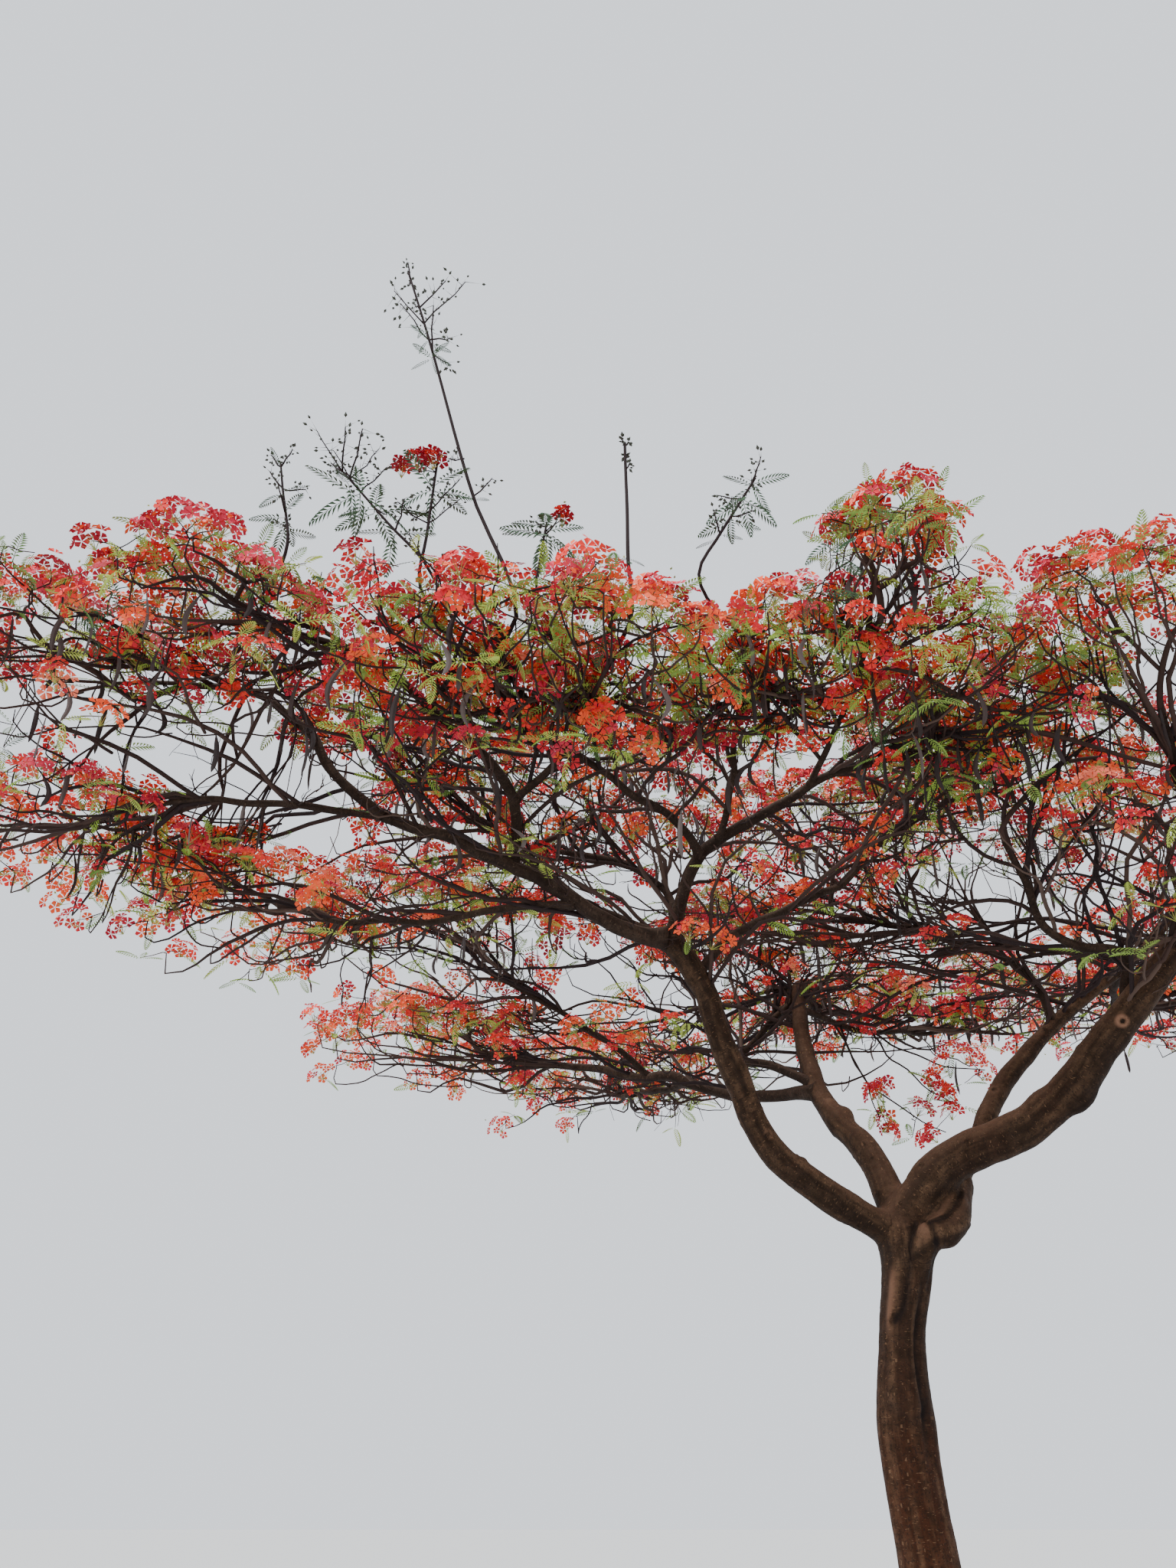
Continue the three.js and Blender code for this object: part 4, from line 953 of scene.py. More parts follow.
def painted_light_by_facing(outward):
    """Painted light and shade: how much paler the sky side of a limb is painted, as painted light from above,
    and how much darker its underside, as painted shade, from the way that its bark faces."""
    sky = np.clip(outward[:, 2], 0, 1) ** SKY_SIDE_PAINTED_LIGHT["power"]
    under = np.clip(-outward[:, 2] - UNDERSIDE_PAINTED_SHADE["from"], 0, 1)
    return SKY_SIDE_PAINTED_LIGHT["pale"] * sky - UNDERSIDE_PAINTED_SHADE["dark"] * under


def eased(points, edges, near):
    """The skin after some turns in which each corner moves toward the mean of its neighbours: all of
    them in the first turns, and then those near a fork, by the square of how near they are."""
    count = np.bincount(edges.ravel(), minlength=len(points))[:, None]
    for turn in range(EASING["turns"]):
        mean = np.stack([np.bincount(edges[:, 0], points[edges[:, 1], axis], len(points))
                         + np.bincount(edges[:, 1], points[edges[:, 0], axis], len(points))
                         for axis in range(3)], -1) / count
        by = EASING["by"] if turn < EASING["whole"] else EASING["forks_by"] * near[:, None] ** 2
        points = points + (mean - points) * by
    return points


def facing(points, triangles):
    """The direction in which the skin faces at each corner: its triangles' normals, added up."""
    outward = np.zeros_like(points)
    first, second, third = (points[triangles[:, corner]] for corner in range(3))
    normals = np.cross(second - first, third - first)
    for corner in range(3):
        for axis in range(3):
            outward[:, axis] += np.bincount(triangles[:, corner], normals[:, axis], len(points))
    return unit(outward)


def trunk_marks(points, on_trunk, curves):
    """How strong the trunk's ridge, its crease, the shade beside the crease and its wrinkles are at
    each corner. Each is a bell across its heading that fades above and below."""
    up = points[:, 2]
    heart, _ = curves["trunk"]
    middle = read_off(up, heart[:, 2], heart[:, :2])
    heading = np.degrees(np.arctan2(points[:, 1] - middle[:, 1], points[:, 0] - middle[:, 0]))

    def aside(mark):
        """Distance round the trunk from a mark's heading, in millimetres."""
        return ((heading - mark["heading"] + 180) % 360 - 180) * math.pi / 180 * TRUNK_ARC

    def between(mark, soft):
        """1 between a mark's bottom and top, fading over a soft length at both."""
        return np.clip((up - mark["bottom"]) / soft, 0, 1) * np.clip((mark["top"] - up) / soft, 0, 1)

    from_crease = aside(TRUNK_CREASE)
    wander = TRUNK_CREASE["wander"] * cloudy(points, TRUNK_CREASE["pitch"], 8)
    beside = bell((from_crease - PAINTED_SHADE_BESIDE_CREASE["aside"]) / PAINTED_SHADE_BESIDE_CREASE["half"])
    wrinkled = on_trunk * bell((up - TRUNK_WRINKLES["height"]) / TRUNK_WRINKLES["half"])
    slanted = up + TRUNK_WRINKLES["slope"] * aside(TRUNK_WRINKLES)
    wave = np.sin(slanted / TRUNK_WRINKLES["pitch"] * 2 * math.pi)
    ridge = between(TRUNK_RIDGE, TRUNK_RIDGE["soft"]) * bell(aside(TRUNK_RIDGE) / TRUNK_RIDGE["half"])
    return (on_trunk * ridge,
            on_trunk * between(TRUNK_CREASE, TRUNK_CREASE["soft"])
            * bell((from_crease + wander) / TRUNK_CREASE["half"]),
            on_trunk * between(TRUNK_CREASE, PAINTED_SHADE_BESIDE_CREASE["soft"]) * beside,
            wrinkled * bell(aside(TRUNK_WRINKLES) / TRUNK_WRINKLES["wide"]) * wave)


def bark_relief(points, place, outward, near, on_trunk, curves):
    """How far the bark stands out at each corner, and how pale (above 0) or dark (below 0) it is
    painted: clouds of random values, the marks of the trunk, seams, knobs, marks of boughs, and
    painted light and shade by the way the bark faces. The paleness is wear on ridges and scars and
    painted light on sky sides and knob tops; the darkness is warts, hollows, and painted shade in
    the crease, beside it, in seams and on undersides."""

    def layer(cloud, values, number):
        """A cloud's height times its random values at places."""
        return cloud["high"] * cloudy(values, cloud["pitch"], number)

    relief = layer(SWELLS, points, 1) * np.where(on_trunk, SWELLS["trunk"], SWELLS["boughs"])
    relief += layer(FLUTES, place, 2) * np.where(on_trunk, FLUTES["trunk"], FLUTES["boughs"])
    relief += layer(FORK_FOLDS, place, 3) * np.clip(FORK_FOLDS["elsewhere"] + near, 0, 1)
    relief += layer(GRIT, points, 4)
    warts = np.clip(cloudy(place, WARTS["pitch"], 6) - WARTS["from"], 0, 1) / (1 - WARTS["from"])
    relief += np.where(on_trunk, WARTS["trunk"], WARTS["boughs"]) * warts
    ridge, crease, beside, wrinkles = trunk_marks(points, on_trunk, curves)
    relief += TRUNK_RIDGE["high"] * ridge - TRUNK_CREASE["deep"] * crease + TRUNK_WRINKLES["deep"] * wrinkles
    # The crease and the skin beside it are darkened here with painted shade, and sky sides are paled with
    # painted light.
    wear_and_light = (WEAR_AND_SHADE["ridge"] * ridge + WEAR_AND_SHADE["crease"] * crease + WEAR_AND_SHADE["beside"] * beside
            + WEAR_AND_SHADE["warts"] * warts + painted_light_by_facing(outward))

    # Seams cut in, and painted shade darkens a wider band along them on skin that faces the front.
    front = np.clip(-outward[:, 1] * 2, 0, 1) * (points[:, 1] < 0)
    front = front * (np.abs(points[:, 0] - SEAM_FRONT["middle"]) < SEAM_FRONT["half"])
    for line, half, deep, dark in TRUNK_SEAMS:
        line = flowing(np.arange(len(line)), line, np.linspace(0, len(line) - 1, 60))
        apart = np.min([np.hypot(points[:, 0] - x, points[:, 2] - height) for x, height in line], axis=0)
        wear_and_light -= dark * front * bell(apart / (half * SEAM_FRONT["dark_wider"]))
        relief -= deep * front * bell(apart / half)
    # A knob's paleness is a painted highlight on it, and below 0 painted shade.
    for middle, reach, high, pale in KNOBS:
        swell = bell(np.linalg.norm(points - middle, axis=1) / reach)
        relief += high * swell
        wear_and_light += pale * swell
    for name, share, turn, lift, reach, high, sunk, pale in MARKS:
        path, radius = curves[name]
        shares = np.linspace(0, 1, len(path))
        spot = read_off(share, shares, path) + toward(turn, lift) * np.interp(share, shares, radius)
        apart = np.linalg.norm(points - spot, axis=1) / reach
        hollow = bell(apart / MARK_HOLLOW)
        ring = bell((apart - MARK_RING * min(sunk, 1)) / MARK_HOLLOW)
        relief += high * (bell(apart) - sunk * hollow)
        wear_and_light += pale * ring - HOLLOW_DARK * min(sunk, 1) * hollow
    return relief, wear_and_light


def bark_skin():
    """The trunk and the thick boughs as one skin with eased forks. Its corners are moved outward by
    the bark's relief, and those at the cut are set level with the ground."""
    points, triangles, edges, curves = joined_boughs()
    forks = [(limbs[name].point(share), reach) for name, share, reach in FORKS] + [MAIN_FORK]
    near = np.max([bell(np.linalg.norm(points - spot, axis=1) / reach) for spot, reach in forks], axis=0)
    points = eased(points, edges, near)
    owner, place = nearest_curve(points, curves)
    outward = facing(points, triangles)
    relief, wear_and_light = bark_relief(points, place, outward, near, owner == 0, curves)
    points = points + outward * relief[:, None]
    points[points[:, 2] < CUT_FLAT, 2] = 0
    notes = (("bark_place", place * MM), ("bark_worn", wear_and_light))
    return mesh_piece("bark_skin", points, triangles, [BARK], notes=notes)


def limb_tubes():
    """Each thinner limb as a wavering tube that swells into a collar where it leaves its bearer."""
    stations, sides = LIMB_TUBE["rings"], LIMB_TUBE["sides"]
    paths, radii = [], []
    for name, limb in limbs.items():
        if name in SKIN_BOUGHS:
            continue
        path, radius = limb_curve(limb, stations, LIMB_TUBE["sway"])
        away = np.linspace(0, limb.length, stations) / (LIMB_TUBE["collar_radii"] * radius[0])
        paths.append(path)
        radii.append(radius * (1 + LIMB_TUBE["collar"] * np.exp(-away)))
    corners, faces, place = tubes(np.array(paths), np.array(radii), sides)
    outward = unit(corners - np.repeat(np.array(paths).reshape(-1, 3), sides, axis=0))
    damp = np.clip(cloudy(place, DAMP["pitch"], 3) - DAMP["from"], 0, 0.5)
    # The note holds painted light on sky sides and painted shade on undersides, besides dark damp patches.
    notes = (("bark_place", place * MM), ("bark_worn", painted_light_by_facing(outward) - DAMP["dark"] * damp))
    return mesh_piece("limb_bark", corners, faces, [LIMB_BARK], notes=notes)


# Twigs, blossom and leaves of every mass.

# Twigs waver in so many waves along them, by a share of their length; shoots are nearly straight.
TWIG_WAVES = (1.0, 2.2)
TWIG_SWAY, SHOOT_SWAY = 0.045, 0.006


class Twigs:
    """Twigs gathered by how many stations they are drawn with, then made as tubes at once."""

    def __init__(self):
        self.rows = {}

    def add(self, points, radii, stations, sides, shade):
        """A twig through points, smoothed, with the number of its shade."""
        points = np.array(points)
        keep = np.concatenate([[True], np.linalg.norm(np.diff(points, axis=0), axis=1) > 1])
        points, radii = points[keep], np.array(radii)[keep]
        if len(points) < 2:
            return
        travelled = travelled_along(points)
        at = np.linspace(0, travelled[-1], stations)
        row = self.rows.setdefault((stations, sides), ([], [], []))
        row[0].append(flowing(travelled, points, at))
        row[1].append(np.interp(at, travelled, radii))
        row[2].append(shade)

    def build(self, random, sway):
        """Corners, faces and shades. Each twig wavers in waves across it that fade at its ends."""
        parts, shades = [], []
        for (stations, sides), (paths, radii, kinds) in self.rows.items():
            paths, radii = np.array(paths), np.array(radii)
            length = np.linalg.norm(paths[:, -1] - paths[:, 0], axis=1)
            share = np.linspace(0, 1, stations)
            for waves in TWIG_WAVES:
                phase = random.uniform(0, 2 * math.pi, (len(paths), 1))
                across = unit(random.normal(size=(len(paths), 3)))
                wave = np.sin(share * math.pi) * np.sin(share * waves * 2 * math.pi + phase)
                paths = paths + across[:, None] * (wave * length[:, None] * sway / waves)[..., None]
            parts.append(tubes(paths, radii, sides)[:2])
            shades.append(np.repeat(kinds, len(parts[-1][1]) // len(paths)))
        return *joined(parts), np.concatenate(shades)


class Crown:
    """What one side of the crown holds, before its pieces are made."""

    def __init__(self):
        self.twigs, self.shoots = Twigs(), Twigs()
        self.trusses, self.leaves, self.pods, self.buds = [], [], [], []


def stem(crown, foot, way, ends, kind, random):
    """A stem of a kind from a foot along a way to its ends, by the source's rule of forks. It keeps
    below its ends by the lift, and its last twigs rise to them."""
    shade = random.choice(len(TWIG_BARK), p=TWIG_SHARES)
    lift = kind.get("lift", 0)
    rise = np.array([0, 0, lift])
    goals = [end - rise for end in ends]
    for points, bears in grow_twigs(foot, foot + way, goals, random.random):
        radii = [kind["radius"] * bear ** kind.get("power", TWIG_POWER) for bear in bears]
        if lift:
            low = points[-1]
            points[-1] = low + (points[-2] - low) * STEM_RISE["back"]
            points += [low + rise * STEM_RISE["half_way"], low + rise]
            radii += [radii[-1] * STEM_RISE["thinner"], kind["last"]]
        radii[-1] = kind["last"]
        crown.twigs.add(points, radii, *kind["drawn"], shade)
        for fork in points[1:-2]:
            if random.random() < kind.get("pods", 0) and fork[2] > POD_FLOOR:
                hang_pod(crown, fork, random)


def keep_in(ends, spare):
    """Ends drawn into the crown: none is further in plan from the middle of its nearest mass than
    the mass's half width and a spare length, or higher than the mass's dome."""
    ends = np.array(ends, float)
    middles, wide, high = (np.array([mass[column] for mass in MASSES], float) for column in (2, 3, 4))
    level = ends[:, None, :2] - middles[None, :, :2]
    apart = np.linalg.norm(level, axis=2)
    nearest = np.argmin(apart / wide, axis=1)
    row = np.arange(len(ends))
    level, apart, wide, high = level[row, nearest], apart[row, nearest], wide[nearest], high[nearest]
    share = np.minimum(1, (wide + spare) / apart)
    ends[:, :2] = middles[nearest, :2] + level * share[:, None]
    reach = np.minimum(apart * share / (wide * DOME_WIDER), DOME_RIM)
    ends[:, 2] = np.minimum(ends[:, 2], middles[nearest, 2] + high * np.sqrt(1 - reach ** 2))
    return ends


def spray(crown, base, way, tip, outward, count, blossom, random, size=1.0):
    """A spray at one tip: finer twigs in a sunflower pattern over a low cap round the tip, each with
    a truss of blossom or a tuft of leaves."""
    outward = unit(outward)
    one = -level_beside(outward)
    two = np.cross(outward, one)
    spin = random.uniform(0, 2 * math.pi)
    ends = []
    for index in range(count):
        polar = cap_angle(index, count, SPRAY["spread"])
        turn = index * SUNFLOWER_TURN + spin
        reach = random.uniform(*SPRAY["reach"]) * size
        level = math.sin(polar) * SPRAY["wide"] * reach * (math.cos(turn) * one + math.sin(turn) * two)
        ends.append(tip + level + outward * SPRAY["high"] * (math.cos(polar) * reach - SPRAY["sunk"]))
    ends = list(keep_in(ends, SPRAY["spare"]))
    stem(crown, base, way * SPRAY["start"], ends, SPRAY, random)
    # Shades darken with height: partly painted shade of the backlit top of the crown.
    height = min(max((tip[2] - TONE_HEIGHT) / TONE_FADE, 0), 1)
    tone = random.choice(len(PETALS), p=LOW_TONES * (1 - height) + HIGH_TONES * height)
    green = random.choice(len(LEAVES), p=LOW_GREENS * (1 - height) + HIGH_GREENS * height)
    for end in ends:
        axis = unit(outward * 0.6 + unit(end - base) * 0.5 + np.array([0, 0, 0.5]))
        same = random.random() < SPRAY_LEAF["own_green"]
        own_green = green if same else random.choice(len(LEAVES), p=LOW_GREENS)
        turn = random.uniform(0, 360)
        if random.random() < TRUSSED["share"] * blossom:
            bears = TRUSSED
            same = random.random() < TRUSSED["own_tone"]
            own = tone if same else random.choice(len(PETALS), p=LOW_TONES)
            crown.trusses.append((*end, *axis, own, random.uniform(*TRUSSED["size"])))
            leaves = int(random.random() < TRUSSED["leaf_share"])
        else:
            bears = TUFT
            leaves = random.integers(*TUFT["leaves"]) * (random.random() < TUFT["share"])
        for leaf in range(leaves):
            crown.leaves.append((
                *(end - axis * bears["drop"]), turn + leaf * SPRAY_LEAF["turn"],
                random.uniform(*bears["rise"]), random.uniform(*SPRAY_LEAF["size"]), own_green))


def off_dome(end, mass, lean, upward):
    """The direction out of a mass's dome at an end, leaning toward upright."""
    middle, wide, high = mass[2:5]
    square = np.array([wide, wide, high], float) ** 2
    return unit(unit((end - middle) / square) * lean + np.array([0, 0, upward]))


def grow_main(number, crown, random):
    """The source's own twigs of a mass, each ending in a spray, with pods at some forks."""
    mass = MASSES[number]
    limb, blossom = limbs[mass[1]], mass[6]
    rule = seeded(RULE_SEED + number * RULE_SEED_STEP)
    tip, onward = limb.end()
    root = tip + onward * JOINT_GAP
    twigs = grow_twigs(root, root + onward * STEM_STRAIGHT, tips_of(number, root, rule), rule)
    shade = random.integers(2)
    for index, (points, bears) in enumerate(twigs):
        radii = [TWIG_TIP * bear ** TWIG_POWER for bear in bears]
        if index == 0:
            radii = [limb.radius[1] * MAIN_TWIGS["foot"]] * 2 + radii[1:]
            points = [points[0] - onward * MAIN_TWIGS["hidden"]] + points
        radii[-1] = MAIN_TWIGS["last"]
        end = points[-1]
        outward = off_dome(end, mass, *MAIN_TWIGS["lean"])
        base = end - outward * MAIN_TWIGS["below"] - unit(end - points[-2]) * MAIN_TWIGS["back"]
        stations = MAIN_TWIGS["long" if len(points) > 3 else "short"]
        thick = [radius * MAIN_TWIGS["thicker"] for radius in radii]
        crown.twigs.add(points[:-1] + [base], thick, stations, MAIN_TWIGS["sides"], shade)
        full = random.random() < MAIN_TWIGS["full_share"]
        share = blossom if full else blossom * MAIN_TWIGS["sparse"]
        spray(crown, base, unit(base - points[-2]), end, outward, SPRAY["tips"], share, random)
        for fork in points[1:-1]:
            if random.random() < MAIN_TWIGS["pod_share"] and fork[2] > MAIN_TWIGS["pod_floor"]:
                hang_pod(crown, fork, random)
    return twigs


def hang_pod(crown, place, random):
    """A pod at a place, with its heading, size, bend and shade."""
    crown.pods.append((*place, random.uniform(0, 360), random.uniform(*POD["size"]),
                       random.uniform(-1, 1), random.choice(len(POD_SKINS), p=POD_SHARES)))


def grow_side_stems(number, crown, random):
    """Stems that fill the mass from below. Their tips are a sunflower pattern over the mass's
    disc, a little under its dome. They are dealt to stems by heading, and each stem leaves the
    limb a little before the point that is nearest to its own tips."""
    mass = MASSES[number]
    _, bearer, middle, wide, high, _, blossom, stems = mass
    limb = limbs[bearer]
    index = np.arange(stems * SIDE_STEMS["tips"])
    reach = np.sqrt((index + 0.5) / len(index)) * random.uniform(*SIDE_STEMS["scatter"], len(index))
    turn = index * SUNFLOWER_TURN + random.uniform(0, 2 * math.pi)
    level = reach * wide * SIDE_STEMS["reach"]
    dome = 0.8 * np.sqrt(np.maximum(1 - 0.9 * reach ** 2, 0))
    height = high * (dome - 0.1 + 0.1 * random.normal(size=len(index)))
    spots = np.array(middle) + np.stack([np.cos(turn) * level, np.sin(turn) * level, height], -1)
    spots = keep_in(spots, SIDE_STEMS["spare"])
    order = np.argsort(turn % (2 * math.pi))
    far = limb.rooted or limb.length > SIDE_STEMS["long_limb"]
    first = SIDE_STEMS["from_far" if far else "from_near"]
    shares = np.linspace(first, STEMS_TO, 40)
    for group in np.array_split(order, stems):
        ends = list(spots[group])
        goal = np.mean(ends, axis=0)
        apart = np.linalg.norm((limb.point(shares) - goal)[:, :2], axis=1)
        share = shares[np.argmin(apart)] - 0.3 * apart.min() / limb.length - random.uniform(0, 0.15)
        share = max(share, first)
        foot = limb.point(share)
        way = unit(limb.ahead(share) * 0.8 + unit(goal - foot) * 0.8 + random.normal(size=3) * 0.2)
        outwards = [off_dome(end, mass, *SIDE_STEMS["lean"]) for end in ends]
        bases = [end - outward * SIDE_STEMS["below"] for end, outward in zip(ends, outwards)]
        stem(crown, foot, way * SIDE_STEMS["start"], bases, SIDE_STEMS, random)
        for base, end, outward in zip(bases, ends, outwards):
            count = 2 + (random.random() < 0.5)
            spray(crown, base, outward, end, outward, count, blossom * SIDE_STEMS["blossom"], random,
                  SIDE_STEMS["spray"])


def scattered(foot, way, kind, random):
    """Ends of a stem of a kind, scattered round its way from its foot, each at a share of its length."""
    length = random.uniform(*kind["length"])
    ends = []
    for _ in range(kind["tips"]):
        aim = unit(way + random.normal(size=3) * kind["spread"])
        ends.append(foot + aim * length * random.uniform(*kind["reach"]))
    return ends


def grow_net(name, crown, random):
    """Crooked stems that leave a limb all along it and run out level under the crown, some of whose
    tips bear a small spray. Then, on a few limbs, long stems, and everywhere bare twigs."""
    limb = limbs[name]
    first = BOUGH_FROM if name in SKIN_BOUGHS else LIMB_FROM
    for number in range(NET_STEMS["each"]):
        share = first + (STEMS_TO - first) * (number + random.uniform(0, 1)) / NET_STEMS["each"]
        foot, ahead = limb.point(share), limb.ahead(share)
        side = unit(np.cross(ahead, [0, 0, 1.0]) + np.array([1e-6, 0, 0])) * random.choice([-1, 1])
        way = unit(ahead * random.uniform(*NET_STEMS["ahead"]) + side * random.uniform(*NET_STEMS["aside"])
                   + np.array([0, 0, random.uniform(*NET_STEMS["rise"])]))
        ends = list(keep_in(scattered(foot, way, NET_STEMS, random), END_SPARE))
        stem(crown, foot, way * NET_STEMS["start"], ends, NET_STEMS, random)
        for end in ends:
            if random.random() < NET_STEMS["spray_share"]:
                outward = unit(way * 0.3 + np.array([0, 0, 1.0]))
                spray(crown, end - outward * 30, outward, end + outward * 60, outward, 2,
                      NET_STEMS["blossom"], random, NET_STEMS["spray"])
    for _ in range(LONG_STEMS["each"] if name in LONG_STEM_LIMBS else 0):
        foot = limb.point(random.uniform(*LONG_STEMS["shares"]))
        heading = LONG_STEM_LIMBS[name] + random.uniform(*LONG_STEMS["turn"])
        way = toward(heading, random.uniform(*LONG_STEMS["rise"]))
        ends = list(keep_in(scattered(foot, way, LONG_STEMS, random), END_SPARE))
        stem(crown, foot, way * LONG_STEMS["start"] + [0, 0, 40], ends, LONG_STEMS, random)
    for _ in range(BARE_TWIGS["each"]):
        share = random.uniform(first, 1)
        foot, ahead = limb.point(share), limb.ahead(share)
        way = unit(ahead * 0.6 + random.normal(size=3) * [0.7, 0.7, 0.35] + [0, 0, 0.12])
        ends = scattered(foot, way, BARE_TWIGS, random)
        stem(crown, foot, way * BARE_TWIGS["start"], ends, BARE_TWIGS, random)


def grow_hanging(crown, random):
    """Twigs that hang below a back limb, with small sprays of blossom along them."""
    limb = limbs[HANGING_LIMB]
    for leaves_at, line, spray_shares in HANGING:
        line = np.array([limb.point(leaves_at), *line], float)
        travelled = travelled_along(line)
        radii = np.linspace(*HANGING_TWIG["radii"], len(line))
        crown.twigs.add(line, radii, *HANGING_TWIG["drawn"], 0)
        for share in spray_shares:
            spot = flowing(travelled, line, np.array([share * travelled[-1]]))[0]
            outward = unit(random.normal(size=3) * [0.8, 0.8, 0.3] + [0, 0, 0.3])
            tip = spot + outward * HANGING_TWIG["reach"]
            spray(crown, spot, outward, tip, outward, HANGING_TWIG["tips"], 1.0, random,
                  HANGING_TWIG["size"])


def grow_shoots(number, twigs, crown):
    """Shoots above the crown: a bare stem, straight once it is out of the crown, with sprigs. A
    sprig is a thin stalk with short side stalks that end in round buds, and leaves droop round it."""
    random = np.random.default_rng(SEEDS["shoots"] + number)
    foot = twigs[0][0][2]
    for place, (mass, through, end, radii, sprigs) in enumerate(SHOOTS):
        if mass != MASSES[number][0]:
            continue
        onward = np.array(through, float) + (np.array(end) - through) * np.linspace(0, 1, 4)[:, None]
        crown.shoots.add([foot, *onward], np.linspace(*radii, 5), *SHOOT_DRAWN, SHOOT_SHADE)

        def on_shoot(share):
            """The point at a share of the shoot: its foot at 0, its bend and its end at 1."""
            return read_off(share, [0, SHOOT_THROUGH, 1], np.array([foot, through, end]))

        for count, (share, stalks, long, leaves, size) in enumerate(sprigs):
            spot = on_shoot(share)
            for stalk in range(stalks):
                turn = count * SPRIG["turn"] + stalk * SPRIG["next"] + 60 * place
                way = toward(turn, random.uniform(*SPRIG["rise"]))
                length = long * random.uniform(0.85, 1.15)
                bend = spot + way * length * 0.5 - [0, 0, SPRIG["sag"]]
                crown.twigs.add([spot, bend, spot + way * length], SPRIG["radii"], *SPRIG_DRAWN, SHOOT_SHADE)
                for share_along in np.linspace(SPRIG["first_bud"], 1, SPRIG["buds"]):
                    base = spot + way * length * share_along
                    reach = unit(way * 0.7 + random.normal(size=3) * 0.8) * length
                    bud = base + reach * random.uniform(0.15, 0.36)
                    crown.buds.append((*base, *bud, random.uniform(1.1, 1.9)))
            for leaf in range(leaves):
                root = spot - [0, 0, random.uniform(0, 70)]
                turn = count * 80 + leaf * 360 / leaves + random.uniform(-25, 25)
                crown.leaves.append((*root, turn, random.uniform(-30, 20),
                                     size * random.uniform(0.8, 1.1), SHOOT_GREEN))
        for shoot, share, reach, size in SHOOT_TRUSSES:
            if shoot == place:
                spot = on_shoot(share)
                tip = spot + np.array(reach, float)
                line = [spot - [0, 0, 60], (spot + tip) / 2 - [0, 0, 25], tip]
                crown.twigs.add(line, [6, 5, 4], *SPRIG_DRAWN, SHOOT_SHADE)
                crown.trusses.append((*tip, 0, -0.2, 1, SHOOT_TONE, size))


# Small shapes, and the pieces that are made of many copies of them.

def flower_shape():
    """One open flower round its own axis: spoon-shaped petals, each a narrow claw that widens to a
    blunt blade, folded a little along its middle. The first petal is the longest."""
    corners, faces = [], []
    lift = np.array([1.0, 0, 0])
    for petal in range(FLOWER["petals"]):
        turn = petal * 2 * math.pi / FLOWER["petals"]
        out = np.array([0, math.cos(turn), math.sin(turn)])
        side = np.array([0, -math.sin(turn), math.cos(turn)]) * FLOWER["half"]
        length = FLOWER["petal"] * (FLOWER["standard"] if petal == 0 else 1)
        wide = out * length * FLOWER["widest"] + lift * FLOWER["cup"]
        corners += [out * FLOWER["claw"], wide - side, out * length + lift * FLOWER["tip"], wide + side]
        first = petal * 4
        faces += [[first, first + 1, first + 2], [first, first + 2, first + 3]]
    return np.array(corners), np.array(faces)


def spike_shape():
    """A thin three-sided spike of length 1 along the first axis, for a flower's stalk."""
    turn = np.arange(3) * 2 * math.pi / 3
    base = np.stack([0 * turn, np.cos(turn), np.sin(turn)], -1)
    return np.concatenate([base, [[1.0, 0, 0]]]), np.array([[0, 1, 3], [1, 2, 3], [2, 0, 3]])


def bud_shape():
    """A bud: two four-sided points base to base."""
    turn = np.arange(4) * math.pi / 2
    ring = np.stack([0 * turn + BUD["widest"], np.cos(turn), np.sin(turn)], -1)
    here = np.arange(4)
    after = (here + 1) % 4
    below = np.stack([0 * here, after + 2, here + 2], -1)
    above = np.stack([0 * here + 1, here + 2, after + 2], -1)
    return np.concatenate([[[0.0, 0, 0], [1.0, 0, 0]], ring]), np.concatenate([below, above])


def leaf_shape():
    """A feathery leaf along the first axis: a stalk, and on both sides slim pinnae of two faces
    whose lengths swell and shrink along it, drooping at their tips."""
    pairs, length, bare = LEAF["pairs"], LEAF["length"], LEAF["bare"]
    share = bare + (1 - bare) * (np.arange(pairs) / (pairs - 1)) ** 0.95
    swell = np.sin(math.pi * (0.16 + 0.78 * (share - bare) / (1 - bare)))
    reach = LEAF["pinna"] * swell ** 0.75
    lean = np.radians(62 - 34 * share)
    corners, faces = [], []
    for station in np.linspace(0, 1, 4):
        width = LEAF["stalk"] * (1 - 0.7 * station)
        corners += [[station * length, -width, 0], [station * length, width, 0]]
    for one in (0, 2, 4):
        faces += [[one, one + 3, one + 1], [one, one + 2, one + 3]]
    for pair in range(pairs):
        for way in (-1, 1):
            cos, sin = math.cos(lean[pair]), way * math.sin(lean[pair])
            root = np.array([share[pair] * length, 0, 0])
            ahead = np.array([cos, sin, 0]) * reach[pair]
            across = np.array([sin, -cos, 0]) * LEAF["half"]
            half = root + ahead * 0.5 + np.array([0, 0, LEAF["arch"]])
            tip = root + ahead - np.array([0, 0, LEAF["tip_drop"]])
            first = len(corners)
            corners += [root, half - across, tip, half + across]
            faces += [[first, first + 1, first + 2], [first, first + 2, first + 3]]
    corners = np.array(corners, float)
    corners[:, 2] -= LEAF["droop"] * (corners[:, 0] / length) ** 2
    return corners, np.array(faces)


